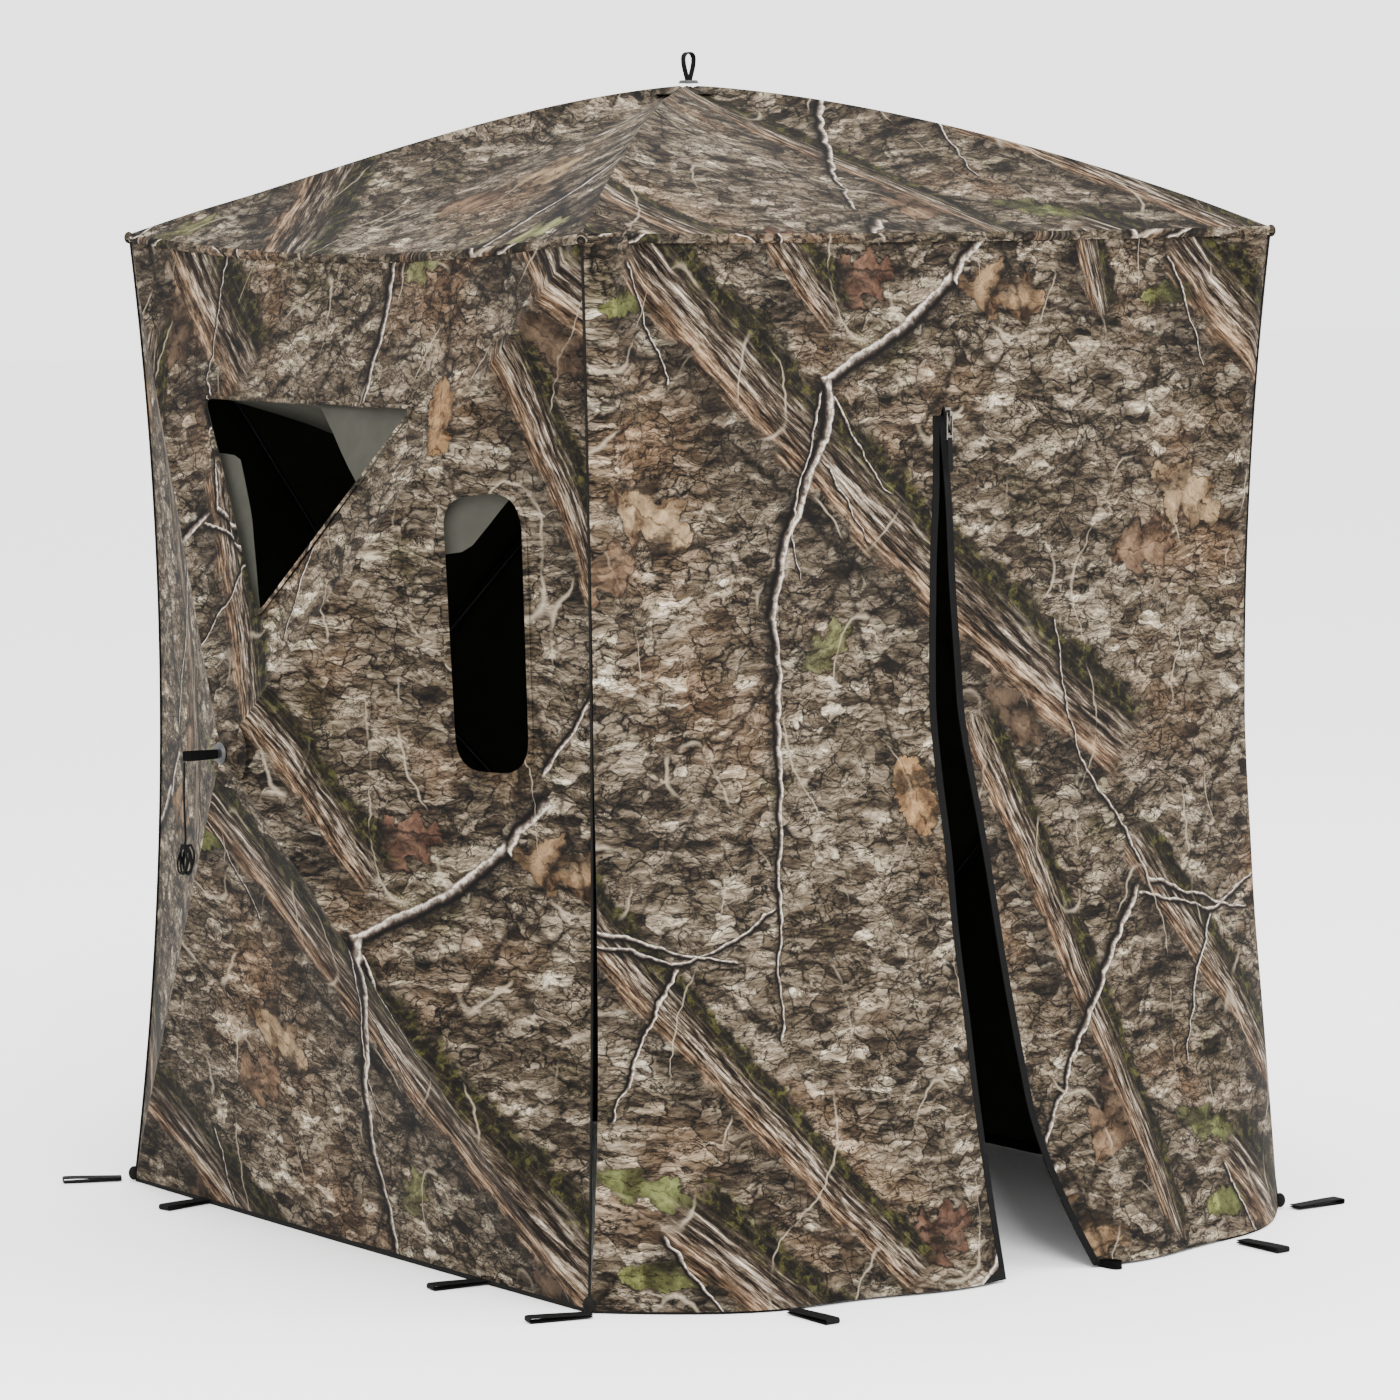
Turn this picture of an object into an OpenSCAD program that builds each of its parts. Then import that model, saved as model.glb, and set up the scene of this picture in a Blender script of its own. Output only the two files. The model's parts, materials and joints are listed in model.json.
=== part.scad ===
// Pop up ground blind: a floorless square fabric tent held up by a roof hub and
// three wall hubs, each with four sprung poles. The front wall (-Y) is the zipped
// door. The origin is on the ground at the centre of the plan, +Z up.

/* [Tent] */
// Distance from the centre to a wall at the eave
eave_half = 612; // [560:1:680]
// Distance from the centre to a wall at the ground
hem_half = 624; // [570:1:700]
// Height of the eave corners
eave_h = 1462; // [1300:1:1600]
// Height of the roof's top above the ground
apex_h = 1680; // [1600:1:1900]
// How far a corner seam is pulled in at mid height, along each wall
seam_pull = 32; // [0:1:60]
// Thickness of the cloth
cloth = 1.2; // [0.8:0.1:3]

/* [Hubs] */
// How far a wall's hub stands out past the wall's own plane
hub_out = 206; // [150:1:240]
// Radius of a hub's moulded body
hub_r = 44; // [40:1:60]
// Thickness of a hub's moulded body
hub_t = 20; // [16:1:30]
// Distance from a hub's middle to its hinge pins
pin_reach = 30; // [26:1:34]
// Radius of a hinge pin
pin_r = 2; // [1.5:0.1:3]

/* [Poles] */
// Diameter of a wall pole
pole_d = 8; // [6:0.5:10]
// How far a pole stops short of its corner
tip_gap = 42; // [36:1:60]
// How far a roof pole bows up at its middle
roof_bow = 18; // [10:1:60]

/* [Door] */
// Height of the top of the door's zip
zip_top = 1220; // [1000:1:1300]
// Distance from the door's middle to the foot of each flap's fold line
flap_foot = 390; // [300:1:420]
// How far the door wall bells out at the ground
bell = 180; // [0:1:220]
// Height where the door wall starts to bell out
bell_h = 800; // [600:1:1000]

/* [Webbing] */
// Width of the stake loops' webbing
web_w = 22; // [15:1:30]
// Length of a stake loop
stake_len = 86; // [60:1:110]
// How far a hub's pull loop stands out
loop_out = 60; // [40:1:80]

/* [Hidden] */
$fn = 48;

mid_h = eave_h / 2;
mid_half = (eave_half + hem_half) / 2;
hub_face = mid_half + hub_out;         // a wall hub's cloth peak, from the centre
cap_t = 3;
cap_r = 52;
stud_r = 4;
pivot_y = hub_face - 26;               // a wall hub's pins, from the centre
tip_in = 8;                            // poles run this far inside the cloth's corner
slot_w = pole_d + 2;
bore_play = 0.05;
loop_r = 11;
loop_t = 2.4;
cap_face = 21;                         // a cap's underside, out from the pins
roof_cap_face = 24;
loop_foot = cap_face + cap_t + 4;
front_reach = pivot_y + loop_foot + loop_out;
wall_turn = [["left", -90], ["back", 180], ["right", 90]];
pole_turn = [[1, 1], [-1, 1], [-1, -1], [1, -1]];

function mix(a, b, t) = a + (b - a) * t;
function bow(u) = 4 * u * (1 - u);
function half_at(z) = mix(hem_half, eave_half, z / eave_h) - seam_pull * bow(z / eave_h);

// ---- shared shapes ----

// A closed sheet over a grid of points, thickened by the vector off
module sheet(grid, off) {
    ni = len(grid) - 1;
    nj = len(grid[0]) - 1;
    n = (ni + 1) * (nj + 1);
    function at(i, j) = i * (nj + 1) + j;
    points = [for (layer = [0, 1]) for (row = grid) for (p = row) p + layer * off];
    front = [
        for (i = [0:ni - 1]) for (j = [0:nj - 1]) for (k = [0, 1])
            k == 0 ? [at(i, j), at(i, j + 1), at(i + 1, j + 1)]
                   : [at(i, j), at(i + 1, j + 1), at(i + 1, j)]
    ];
    back = [for (f = front) [f[2] + n, f[1] + n, f[0] + n]];
    rim = concat(
        [for (i = [0:ni]) at(i, 0)],
        [for (j = [1:nj]) at(ni, j)],
        [for (i = [1:ni]) at(ni - i, nj)],
        [for (j = [1:nj - 1]) at(0, nj - j)]
    );
    m = len(rim);
    edge = [
        for (i = [0:m - 1]) for (k = [0, 1])
            let (a = rim[i], b = rim[(i + 1) % m])
            k == 0 ? [a, b, b + n] : [a, b + n, a + n]
    ];
    polyhedron(points, concat(front, back, edge));
}

// A round tube swept along a list of points
function turn_at(path, i) =
    let (a = path[max(i - 1, 0)], b = path[min(i + 1, len(path) - 1)], d = b - a) d / norm(d);
function across(d) =
    let (c = abs(d[2]) < 0.9 ? cross(d, [0, 0, 1]) : cross(d, [0, 1, 0])) c / norm(c);
module tube(path, r, sides = 8) {
    n = len(path);
    points = [
        for (i = [0:n - 1])
            let (d = turn_at(path, i), u = across(d), v = cross(d, u))
            for (k = [0:sides - 1])
                path[i] + r * (cos(360 * k / sides) * u + sin(360 * k / sides) * v)
    ];
    skin = [
        for (i = [0:n - 2]) for (k = [0:sides - 1]) for (h = [0, 1])
            let (a = i * sides + k, b = i * sides + (k + 1) % sides)
            h == 0 ? [a, a + sides, b + sides] : [a, b + sides, b]
    ];
    first = [for (k = [0:sides - 1]) k];
    last = [for (k = [0:sides - 1]) n * sides - 1 - k];
    polyhedron(points, concat(skin, [first, last]));
}

// A flattened loop of webbing, its mouth end at the origin and its bight along +X
module web_loop(length, width, r, t) {
    rotate([90, 0, 0])
    linear_extrude(width, center = true)
    difference() {
        hull() {
            translate([length - r, 0]) circle(r, $fn = 20);
            translate([t, 0]) circle(t, $fn = 20);
        }
        hull() {
            translate([length - r, 0]) circle(r - t, $fn = 20);
            translate([3 * t, 0]) circle(0.4, $fn = 20);
        }
    }
}

// ---- cloth of one hub wall, drawn with its outside towards -Y ----

hub_peak = [0, -hub_face, mid_h];
steps = 10;
function eave_pt(s) = [mix(-eave_half, eave_half, s), -eave_half, eave_h];
function hem_pt(s) = [mix(-hem_half, hem_half, s), -hem_half, 0];
function seam_pt(side, s) = let (z = eave_h * s) [side * half_at(z), -half_at(z), z];
// Rows run from just inside an edge of the wall up to the hole at its hub
function fan(edge) = [for (t = [0.012, 0.5, 0.955]) [for (p = edge) mix(p, hub_peak, t)]];
edge_in = 0.008;
function spread(i) = mix(edge_in, 1 - edge_in, i / steps);
function top_grid() = fan([for (i = [0:steps]) eave_pt(spread(i))]);
function bottom_grid() = fan([for (i = [0:steps]) hem_pt(1 - spread(i))]);
function right_grid() = fan([for (i = [0:steps]) seam_pt(1, 1 - spread(i))]);
function left_grid() = fan([for (i = [0:steps]) seam_pt(-1, spread(i))]);

module wall_cloth(grid) {
    color("darkkhaki") sheet(grid, [0, cloth, 0]);
}

module plain_wall() {
    wall_cloth(top_grid());
    wall_cloth(bottom_grid());
    wall_cloth(right_grid());
    wall_cloth(left_grid());
}

// ---- windows in the left wall, drawn on a wall whose outside is towards -Y ----

peak_top = 1190;                       // heights and widths are measured along the slopes
peak_low = 932;
peak_half = 250;
corner_r = 23;
slot_lean = 4;
slot_mid = [414, 928];
slot_half = 198;
slot_r = 70;
top_slope = atan((hub_face - eave_half) / (eave_h - mid_h));
side_edge = half_at(slot_mid[1] + 60);
side_slope = atan((hub_face - side_edge) / side_edge);

module peak_outline(grow = 0) {
    hull() {
        translate([-peak_half, peak_top]) circle(corner_r + grow, $fn = 32);
        translate([peak_half, peak_top]) circle(corner_r + grow, $fn = 32);
        translate([0, peak_low]) circle(corner_r + grow, $fn = 32);
    }
}

module slot_outline(grow = 0) {
    hull() {
        for (end = [-1, 1])
            translate(slot_mid + [end * slot_lean, end * (slot_half - slot_r)])
                circle(slot_r + grow, $fn = 32);
    }
}

// Lays a flat shape, drawn as seen from outside, on the sloping top quarter of a wall
module on_top_slope(out) {
    translate([0, -eave_half, eave_h])
    rotate([-top_slope, 0, 0])
    translate([0, -out, -eave_h])
    rotate([90, 0, 0])
        children();
}

// The same on the side quarter next to the corner at +X
module on_side_slope(out) {
    translate([side_edge, -side_edge, 0])
    rotate([0, 0, side_slope])
    translate([-side_edge, -out, 0])
    rotate([90, 0, 0])
        children();
}

module peak_window_binding() {
    color("black")
    rotate([0, 0, -90])
    on_top_slope(1)
    linear_extrude(2.5)
    difference() {
        peak_outline(9);
        peak_outline(0);
    }
}

module slot_window_binding() {
    color("black")
    rotate([0, 0, -90])
    intersection() {
        translate([0, -2.9, 0]) sheet(right_grid(), [0, 2.5, 0]);
        on_side_slope(-60) linear_extrude(120) difference() {
            slot_outline(9);
            slot_outline(0);
        }
    }
}

cover_in = 7;
peak_hinge_z = peak_top + corner_r + 12;
peak_swing = 72;
module peak_window_cover() {
    color("dimgray")
    rotate([0, 0, -90])
    translate([0, -eave_half, eave_h])
    rotate([-top_slope, 0, 0])
    translate([0, cover_in, peak_hinge_z - eave_h])
    rotate([peak_swing, 0, 0])
    translate([0, cloth / 2, -peak_hinge_z])
    rotate([90, 0, 0])
    linear_extrude(cloth)
        peak_outline(6);
}

slot_hinge_x = slot_mid[0] + slot_r + 12;
slot_swing = 100;
module slot_window_cover() {
    color("dimgray")
    rotate([0, 0, -90])
    translate([side_edge, -side_edge, 0])
    rotate([0, 0, side_slope])
    translate([slot_hinge_x - side_edge, cover_in, 0])
    rotate([0, 0, -slot_swing])
    translate([-slot_hinge_x, cloth / 2, 0])
    rotate([90, 0, 0])
    linear_extrude(cloth)
        slot_outline(5);
}

module left_top() {
    rotate([0, 0, -90])
    difference() {
        wall_cloth(top_grid());
        on_top_slope(-40) linear_extrude(80) peak_outline(0);
    }
}

module left_front_side() {
    rotate([0, 0, -90])
    difference() {
        wall_cloth(right_grid());
        on_side_slope(-60) linear_extrude(120) slot_outline(0);
    }
}

module left_bottom() {
    rotate([0, 0, -90]) wall_cloth(bottom_grid());
}

module left_back_side() {
    rotate([0, 0, -90]) wall_cloth(left_grid());
}

module right_wall() {
    rotate([0, 0, 90]) plain_wall();
}

module back_wall() {
    rotate([0, 0, 180]) plain_wall();
}

// ---- roof ----

roof_peak = [0, 0, apex_h];
roof_lift = 1.5;
function roof_pt(s, t) =
    let (p = mix([mix(-eave_half, eave_half, s), -eave_half, eave_h + roof_lift], roof_peak, t))
    p + [0, 0, (roof_bow + 14) * bow(t) * pow(abs(2 * s - 1), 1.5)];
function roof_grid() = [
    for (t = [0.012, 0.2, 0.4, 0.6, 0.8, 0.955])
        [for (i = [0:steps]) roof_pt(spread(i), t)]
];

module roof_gore(turn) {
    color("darkkhaki") rotate([0, 0, turn]) sheet(roof_grid(), [0, 0, -cloth]);
}

// ---- door wall ----

function belly(x, z) =
    z < bell_h ? bell * pow(1 - z / bell_h, 1.25) * (1 - pow(abs(x) / hem_half, 4)) : 0;
function door_y(x, z) =
    -mix(hem_half, eave_half, z / eave_h)
    + seam_pull * bow(z / eave_h) * pow(abs(x) / mid_half, 2)
    - belly(x, z);
function fold_x(z) = flap_foot * (1 - z / zip_top);
gap_left = 52;
gap_right = 78;
function gap_x(side, z) =
    side * (side < 0 ? gap_left : gap_right) * pow(1 - z / zip_top, 1.2);
cut = 1.5;
tape_w = 12;

// Half of the door wall outside the fold line, from the ground to the zip's top
function door_side_grid(side) = [
    for (i = [0:12]) let (z = mix(6, zip_top - 4, i / 12))
        [for (j = [0:6])
            let (x = mix(side * (fold_x(z) + cut + 2), side * (half_at(z) - 6), j / 6))
            [x, door_y(x, z), z]]
];
function door_top_grid() = [
    for (i = [0:4]) let (z = mix(zip_top - 4, eave_h - 8, i / 4))
        [for (j = [0:12])
            let (x = mix(-half_at(z) + 6, half_at(z) - 6, j / 12))
            [x, door_y(x, z), z]]
];

module door_wall() {
    color("darkkhaki") {
        sheet([for (row = door_side_grid(1)) [for (j = [0:6]) row[j]]], [0, cloth, 0]);
        sheet([for (row = door_side_grid(-1)) [for (j = [0:6]) row[6 - j]]], [0, cloth, 0]);
        sheet(door_top_grid(), [0, cloth, 0]);
    }
}

function flap_grid(side) = [
    for (i = [0:12]) let (z = mix(6, zip_top - 90, i / 12))
        [for (j = [0:4])
            let (near = gap_x(side, z) + side * (tape_w + 1.7), far = side * (fold_x(z) - cut))
            let (x = side > 0 ? mix(near, far, j / 4) : mix(far, near, j / 4))
            [x, door_y(x, z), z]]
];

module flap(side) {
    color("darkkhaki") sheet(flap_grid(side), [0, cloth, 0]);
}

function tape_grid(side) = [
    for (i = [0:12]) let (z = mix(6, zip_top - 64, i / 12))
        [for (j = [0:1])
            let (near = gap_x(side, z) + side * 1.2, far = near + side * tape_w)
            let (x = side > 0 ? mix(near, far, j) : mix(far, near, j))
            [x, door_y(x, z) - 0.6, z]]
];

module zip_tape(side) {
    color("black") sheet(tape_grid(side), [0, 2.4, 0]);
}

slider_z = zip_top - 14;
slider_y = door_y(0, slider_z) - 9;

module zip_slider() {
    color("silver")
    translate([0, slider_y, slider_z]) {
        hull() {
            translate([0, 0, 6]) cube([10, 5, 8], center = true);
            translate([0, 0, -8]) cube([6, 5, 4], center = true);
        }
        difference() {
            translate([0, -5, 2]) rotate([0, 90, 0]) cylinder(h = 4, r = 5, center = true);
            translate([0, -5, 2]) rotate([0, 90, 0]) cylinder(h = 6, r = 2, center = true);
        }
    }
}

pull_len = 34;
module zip_pull() {
    color("whitesmoke")
    translate([0, slider_y - 5, slider_z + 2]) {
        rotate([0, 90, 0]) cylinder(h = 9, r = 1.6, center = true);
        for (side = [-1, 1])
            translate([side * 4.5, 0, -pull_len / 2 + 1.6])
                cube([2, 3.2, pull_len], center = true);
        translate([0, 0, -pull_len]) cube([11, 3.2, 6], center = true);
    }
}

// ---- edges ----

module corner_piping() {
    color("black")
    for (a = [0:3])
        rotate([0, 0, 90 * a])
            tube([
                for (i = [0:12])
                    let (z = mix(30, eave_h - 24, i / 12), h = half_at(z) + 3) [h, h, z]
            ], 3);
}

module corner_pockets() {
    color("black")
    for (a = [0:3], z = [13, eave_h - 2])
        rotate([0, 0, 90 * a])
        translate([(z < 100 ? hem_half : eave_half) + 6, (z < 100 ? hem_half : eave_half) + 6, z])
            sphere(13, $fn = 32);
}

tape_h = 5;
function hem_line(side) = [
    for (i = [0:8]) let (x = mix(side * (flap_foot + 6), side * (hem_half - 12), i / 8))
        [x, door_y(x, 0), 0]
];

module hem_strip(path) {
    up = [0, 0, tape_h];
    grid = [path, [for (p = path) p + up]];
    sheet(grid, [0, 2, 0]);
}

module hem_tape() {
    color("black") {
        for (turn = [-90, 180, 90])
            rotate([0, 0, turn])
                hem_strip([for (i = [0:8]) [mix(-hem_half + 12, hem_half - 12, i / 8), -hem_half - 1, 0]]);
        hem_strip(hem_line(1));
        hem_strip([for (i = [0:8]) hem_line(-1)[8 - i]]);
    }
}

module stake_loop(at, turn, length = stake_len) {
    translate([at[0], at[1], loop_r]) rotate([0, 0, turn]) web_loop(length, web_w, loop_r, loop_t);
}

module stake_loops() {
    color("black") {
        stake_loop([-hem_half - 4, 400], 190);
        stake_loop([-hem_half - 4, -370], 173);
        stake_loop([hem_half + 4, 385], -8);
        stake_loop([hem_half + 4, -385], 8);
        stake_loop([385, hem_half + 4], 80);
        stake_loop([-385, hem_half + 4], 98);
        for (side = [-1, 1])
            stake_loop([side * (flap_foot + 14), stake_len - front_reach], -90);
        stake_loop([-hem_half - 20, hem_half + 22], 155);
        stake_loop([-hem_half - 20, -hem_half - 22], 165);
        stake_loop([hem_half + 20, -hem_half - 22], 0);
        stake_loop([hem_half + 20, hem_half + 22], 25);
    }
}

// ---- hubs, drawn with their outside towards +Z and turned into place ----

module hub_body(angles) {
    difference() {
        union() {
            translate([0, 0, -hub_t / 2]) cylinder(h = hub_t - 7, r = hub_r);
            translate([0, 0, hub_t / 2 - 7]) cylinder(h = 7, r1 = hub_r, r2 = hub_r - 14);
            translate([0, 0, -hub_t / 2 - 6]) cylinder(h = 7, r = 20);
        }
        cylinder(h = 60, r = stud_r + bore_play, center = true);
        for (a = angles)
            rotate([0, 0, a]) {
                translate([hub_r / 2 + 16, 0, 0])
                    cube([hub_r, slot_w, hub_t * 2], center = true);
                translate([pin_reach, 0, 0])
                    rotate([90, 0, 0]) cylinder(h = 26, r = pin_r, center = true);
            }
    }
}

module hub_pins(angles) {
    for (a = angles)
        rotate([0, 0, a]) translate([pin_reach, 0, 0])
            rotate([90, 0, 0]) cylinder(h = 26, r = pin_r, center = true);
}

module hub_cap(face) {
    translate([0, 0, face]) cylinder(h = cap_t, r = cap_r);
    translate([0, 0, face - 24]) cylinder(h = 25, r = stud_r);
    translate([0, 0, face + cap_t - 0.1]) cylinder(h = 4.1, r = 16);
}

module pull_loop(foot, length) {
    translate([0, 0, foot]) rotate([0, -90, 0]) web_loop(length, 20, loop_r, loop_t);
}

// The four directions in which a wall's poles leave its hub
function pole_way(signs) =
    atan2(signs[1] * (eave_h / 2 - 10), signs[0] * ((signs[1] > 0 ? eave_half : hem_half) - tip_in));
wall_angles = [for (signs = pole_turn) pole_way(signs)];
roof_angles = [45, 135, 225, 315];

module at_wall(turn) {
    rotate([0, 0, turn]) translate([0, -pivot_y, mid_h]) rotate([90, 0, 0]) children();
}

module at_roof() {
    translate([0, 0, apex_h - 26]) children();
}

// A straight pole with its hinge eye at the origin, lying along +X
module pole(length) {
    color("darkslategray")
    difference() {
        union() {
            rotate([0, 90, 0]) cylinder(h = length, d = pole_d);
            translate([length - 16, 0, 0]) rotate([0, 90, 0]) cylinder(h = 16, d = pole_d + 3);
            translate([length, 0, 0]) sphere(d = pole_d + 3);
            cylinder(h = pole_d, r = 5.5, center = true);
            translate([14, 0, 0]) rotate([0, 90, 0]) cylinder(h = 60, d = pole_d + 1.5);
        }
        cylinder(h = pole_d * 3, r = pin_r + bore_play, center = true);
    }
}

// A wall pole from its pin to the corner that signs names: [along the wall, up]
module wall_pole(turn, signs) {
    corner_half = (signs[1] > 0 ? eave_half : hem_half) - tip_in;
    end = [signs[0] * corner_half, -corner_half, signs[1] > 0 ? eave_h - 10 : 10];
    flat = norm([end[0], end[2] - mid_h]);
    way = atan2(end[2] - mid_h, end[0]);
    pin = [pin_reach * cos(way), -pivot_y, mid_h + pin_reach * sin(way)];
    d = end - pin;
    rotate([0, 0, turn])
    translate(pin)
    rotate([0, -way, 0])
    rotate([0, 0, atan2(d[1], flat - pin_reach)])
        pole(norm(d) - tip_gap);
}

roof_end = [eave_half - 14, eave_h - 6];
roof_pin_z = apex_h - 26;
roof_reach = sqrt(2) * roof_end[0];
roof_chord = norm([roof_reach - pin_reach, roof_pin_z - roof_end[1]]) - tip_gap;
roof_drop = atan2(roof_pin_z - roof_end[1], roof_reach - pin_reach);
roof_arc_r = (pow(roof_chord, 2) / 4 + pow(roof_bow, 2)) / (2 * roof_bow);
roof_arc = 2 * asin(roof_chord / 2 / roof_arc_r);

module roof_pole(turn) {
    color("darkslategray")
    rotate([0, 0, turn])
    translate([pin_reach, 0, roof_pin_z])
    rotate([0, roof_drop, 0])
    difference() {
        union() {
            rotate([90, 0, 0])
            translate([roof_chord / 2, roof_bow - roof_arc_r, 0])
            rotate([0, 0, 90 - roof_arc / 2])
            rotate_extrude(angle = roof_arc, $fn = 360)
            translate([roof_arc_r, 0])
                circle(d = pole_d);
            translate([roof_chord, 0, 0]) sphere(d = pole_d + 3);
            rotate([90, 0, 0]) cylinder(h = pole_d, r = 5.5, center = true);
        }
        rotate([90, 0, 0]) cylinder(h = pole_d * 3, r = pin_r + bore_play, center = true);
    }
}

// ---- guy cord, wound up and hanging from the left hub's pull loop ----

cord_r = 1.5;
cord_x = loop_t / 2 - front_reach;
cord_path = [
    [cord_x, 0, mid_h - 10], [cord_x, 1, mid_h - 34], [cord_x, 2, mid_h - 60],
    [cord_x, 1, mid_h - 88], [cord_x, 0, mid_h - 124]
];

module guy_cord() {
    color("black") tube(cord_path, cord_r);
}

module guy_hank() {
    color("black")
    translate([cord_x, 0, mid_h - 148])
    rotate([90, 0, 90])
    linear_extrude(16, center = true)
    hull() {
        translate([-3, 7]) circle(18, $fn = 32);
        translate([3, -7]) circle(18, $fn = 32);
    }
}

// ---- what is drawn ----

roof_gore(0);  // roof_front
roof_gore(90);  // roof_right
roof_gore(180);  // roof_back
roof_gore(-90);  // roof_left
left_top();
left_bottom();
left_front_side();
left_back_side();
right_wall();
back_wall();
door_wall();
flap(-1);  // flap_left
flap(1);  // flap_right
corner_piping();
corner_pockets();
hem_tape();
stake_loops();
color("dimgray") at_roof() hub_body(roof_angles);  // roof_hub
color("black") at_roof() hub_cap(roof_cap_face);  // roof_cap
color("silver") at_roof() hub_pins(roof_angles);  // roof_pins
color("black") at_roof() pull_loop(loop_foot + roof_cap_face - cap_face, 43);  // roof_loop
for (w = wall_turn) {
    color("dimgray") at_wall(w[1]) hub_body(wall_angles);
    color("black") at_wall(w[1]) hub_cap(cap_face);
    color("silver") at_wall(w[1]) hub_pins(wall_angles);
    color("black") at_wall(w[1]) pull_loop(loop_foot, loop_out);
    for (k = [0:3])
        wall_pole(w[1], pole_turn[k]);
}
for (k = [0:3])
    roof_pole(roof_angles[k]);
peak_window_binding();
peak_window_cover();
slot_window_binding();
slot_window_cover();
zip_tape(-1);  // zip_tape_left
zip_tape(1);  // zip_tape_right
zip_slider();
zip_pull();
guy_cord();
guy_hank();
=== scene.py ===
import json
import math
import bpy
import bmesh
from mathutils import Matrix, Vector, noise


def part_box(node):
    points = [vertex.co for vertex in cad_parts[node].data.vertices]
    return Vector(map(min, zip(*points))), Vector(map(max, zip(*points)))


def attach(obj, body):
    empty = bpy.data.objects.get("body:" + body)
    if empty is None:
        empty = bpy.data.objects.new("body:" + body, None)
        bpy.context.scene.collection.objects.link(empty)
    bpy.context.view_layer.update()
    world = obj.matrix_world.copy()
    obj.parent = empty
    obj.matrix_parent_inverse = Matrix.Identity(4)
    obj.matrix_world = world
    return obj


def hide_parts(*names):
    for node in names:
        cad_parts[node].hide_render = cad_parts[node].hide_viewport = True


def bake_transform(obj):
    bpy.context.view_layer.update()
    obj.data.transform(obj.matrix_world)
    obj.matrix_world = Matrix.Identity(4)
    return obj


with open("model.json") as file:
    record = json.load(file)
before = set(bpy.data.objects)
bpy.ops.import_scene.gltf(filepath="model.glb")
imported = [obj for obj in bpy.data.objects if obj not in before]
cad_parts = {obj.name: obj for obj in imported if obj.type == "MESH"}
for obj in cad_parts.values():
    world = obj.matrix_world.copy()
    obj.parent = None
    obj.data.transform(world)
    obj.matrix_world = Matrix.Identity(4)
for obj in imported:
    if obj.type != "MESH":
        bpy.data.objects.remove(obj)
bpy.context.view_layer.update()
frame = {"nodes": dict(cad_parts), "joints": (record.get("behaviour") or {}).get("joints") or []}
joints = {j["name"]: j for j in frame["joints"]}
print("frame loaded:", len(frame["nodes"]), "nodes")

# driving sizes, from the frame
tent = {
    "eaveHalf": -joints["peak_frame_tilt"]["pos_m"][0],
    "eaveHigh": joints["peak_frame_tilt"]["pos_m"][2],
    "hemHalf": -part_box("hem_tape")[0].x - 0.001,
    "hubMid": (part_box("left_cap")[0].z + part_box("left_cap")[1].z) / 2,
    "hubFace": -joints["left_pole_1_hinge"]["pos_m"][0] + 0.026,
    "roofTop": joints["roof_pole_1_hinge"]["pos_m"][2] + 0.026,
    "seamPull": 0.032,      # how far the corner seams are pulled in at mid height
    "hubWallSag": 0.030,    # how far a hub wall's eave hangs at its middle
    "doorSag": 0.004,
    "clothThick": 0.0011,
    "wallTurns": {"left": -90, "back": 180, "right": 90},
}


def mix(a, b, t):
    return a + (b - a) * t


def bow(u):
    return 4 * u * (1 - u)


def bump(x, middle, width):
    return math.exp(-((x - middle) / width) ** 2)


def halfAt(z):
    u = z / tent["eaveHigh"]
    return mix(tent["hemHalf"], tent["eaveHalf"], u) - tent["seamPull"] * bow(max(0, min(1, u)))


def turned(p, degrees):
    return Matrix.Rotation(math.radians(degrees), 4, "Z") @ Vector(p)


# camera
shot = {
    "place": (-4.653, -6.552, 1.505),
    "heading": (0.5801, 0.8146),
    "pitchDown": 5.315,
    "roll": -0.409,
    "lens": 137.3,
}


def placeCamera():
    pitch = math.radians(shot["pitchDown"])
    hx, hy = shot["heading"]
    ahead = Vector((hx * math.cos(pitch), hy * math.cos(pitch), -math.sin(pitch))).normalized()
    side = ahead.cross(Vector((0, 0, 1))).normalized()
    top = side.cross(ahead)
    roll = math.radians(shot["roll"])
    right = side * math.cos(roll) + top * math.sin(roll)
    up = top * math.cos(roll) - side * math.sin(roll)
    data = bpy.data.cameras.new("camera")
    data.lens = shot["lens"]
    data.sensor_width = 36
    data.clip_end = 200
    camera = bpy.data.objects.new("camera", data)
    bpy.context.scene.collection.objects.link(camera)
    turn = Matrix((right, up, -ahead)).transposed().to_4x4()
    camera.matrix_world = Matrix.Translation(shot["place"]) @ turn
    bpy.context.scene.camera = camera


placeCamera()

# node helpers


def srgb(text):
    channels = [int(text[i:i + 2], 16) / 255 for i in (0, 2, 4)]
    return tuple(c / 12.92 if c <= 0.04045 else ((c + 0.055) / 1.055) ** 2.4 for c in channels) + (1,)


def feed(tree, socket, value):
    if isinstance(value, bpy.types.NodeSocket):
        tree.links.new(value, socket)
    elif value is not None:
        socket.default_value = value


def calc(tree, how, a, b=None, c=None, clamp=False):
    node = tree.nodes.new("ShaderNodeMath")
    node.operation = how
    node.use_clamp = clamp
    for socket, value in zip(node.inputs, (a, b, c)):
        feed(tree, socket, value)
    return node.outputs[0]


def vec(tree, how, a, b=None, c=None):
    node = tree.nodes.new("ShaderNodeVectorMath")
    node.operation = how
    feed(tree, node.inputs[0], a)
    if how == "SCALE":
        feed(tree, node.inputs["Scale"], b)
    else:
        feed(tree, node.inputs[1], b)
        feed(tree, node.inputs[2], c)
    return node.outputs["Value"] if how in ("DOT_PRODUCT", "LENGTH") else node.outputs["Vector"]


def blendColor(tree, share, a, b, how="MIX"):
    node = tree.nodes.new("ShaderNodeMix")
    node.data_type = "RGBA"
    node.blend_type = how
    feed(tree, node.inputs[0], share)
    feed(tree, node.inputs[6], a)
    feed(tree, node.inputs[7], b)
    return node.outputs[2]


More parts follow.
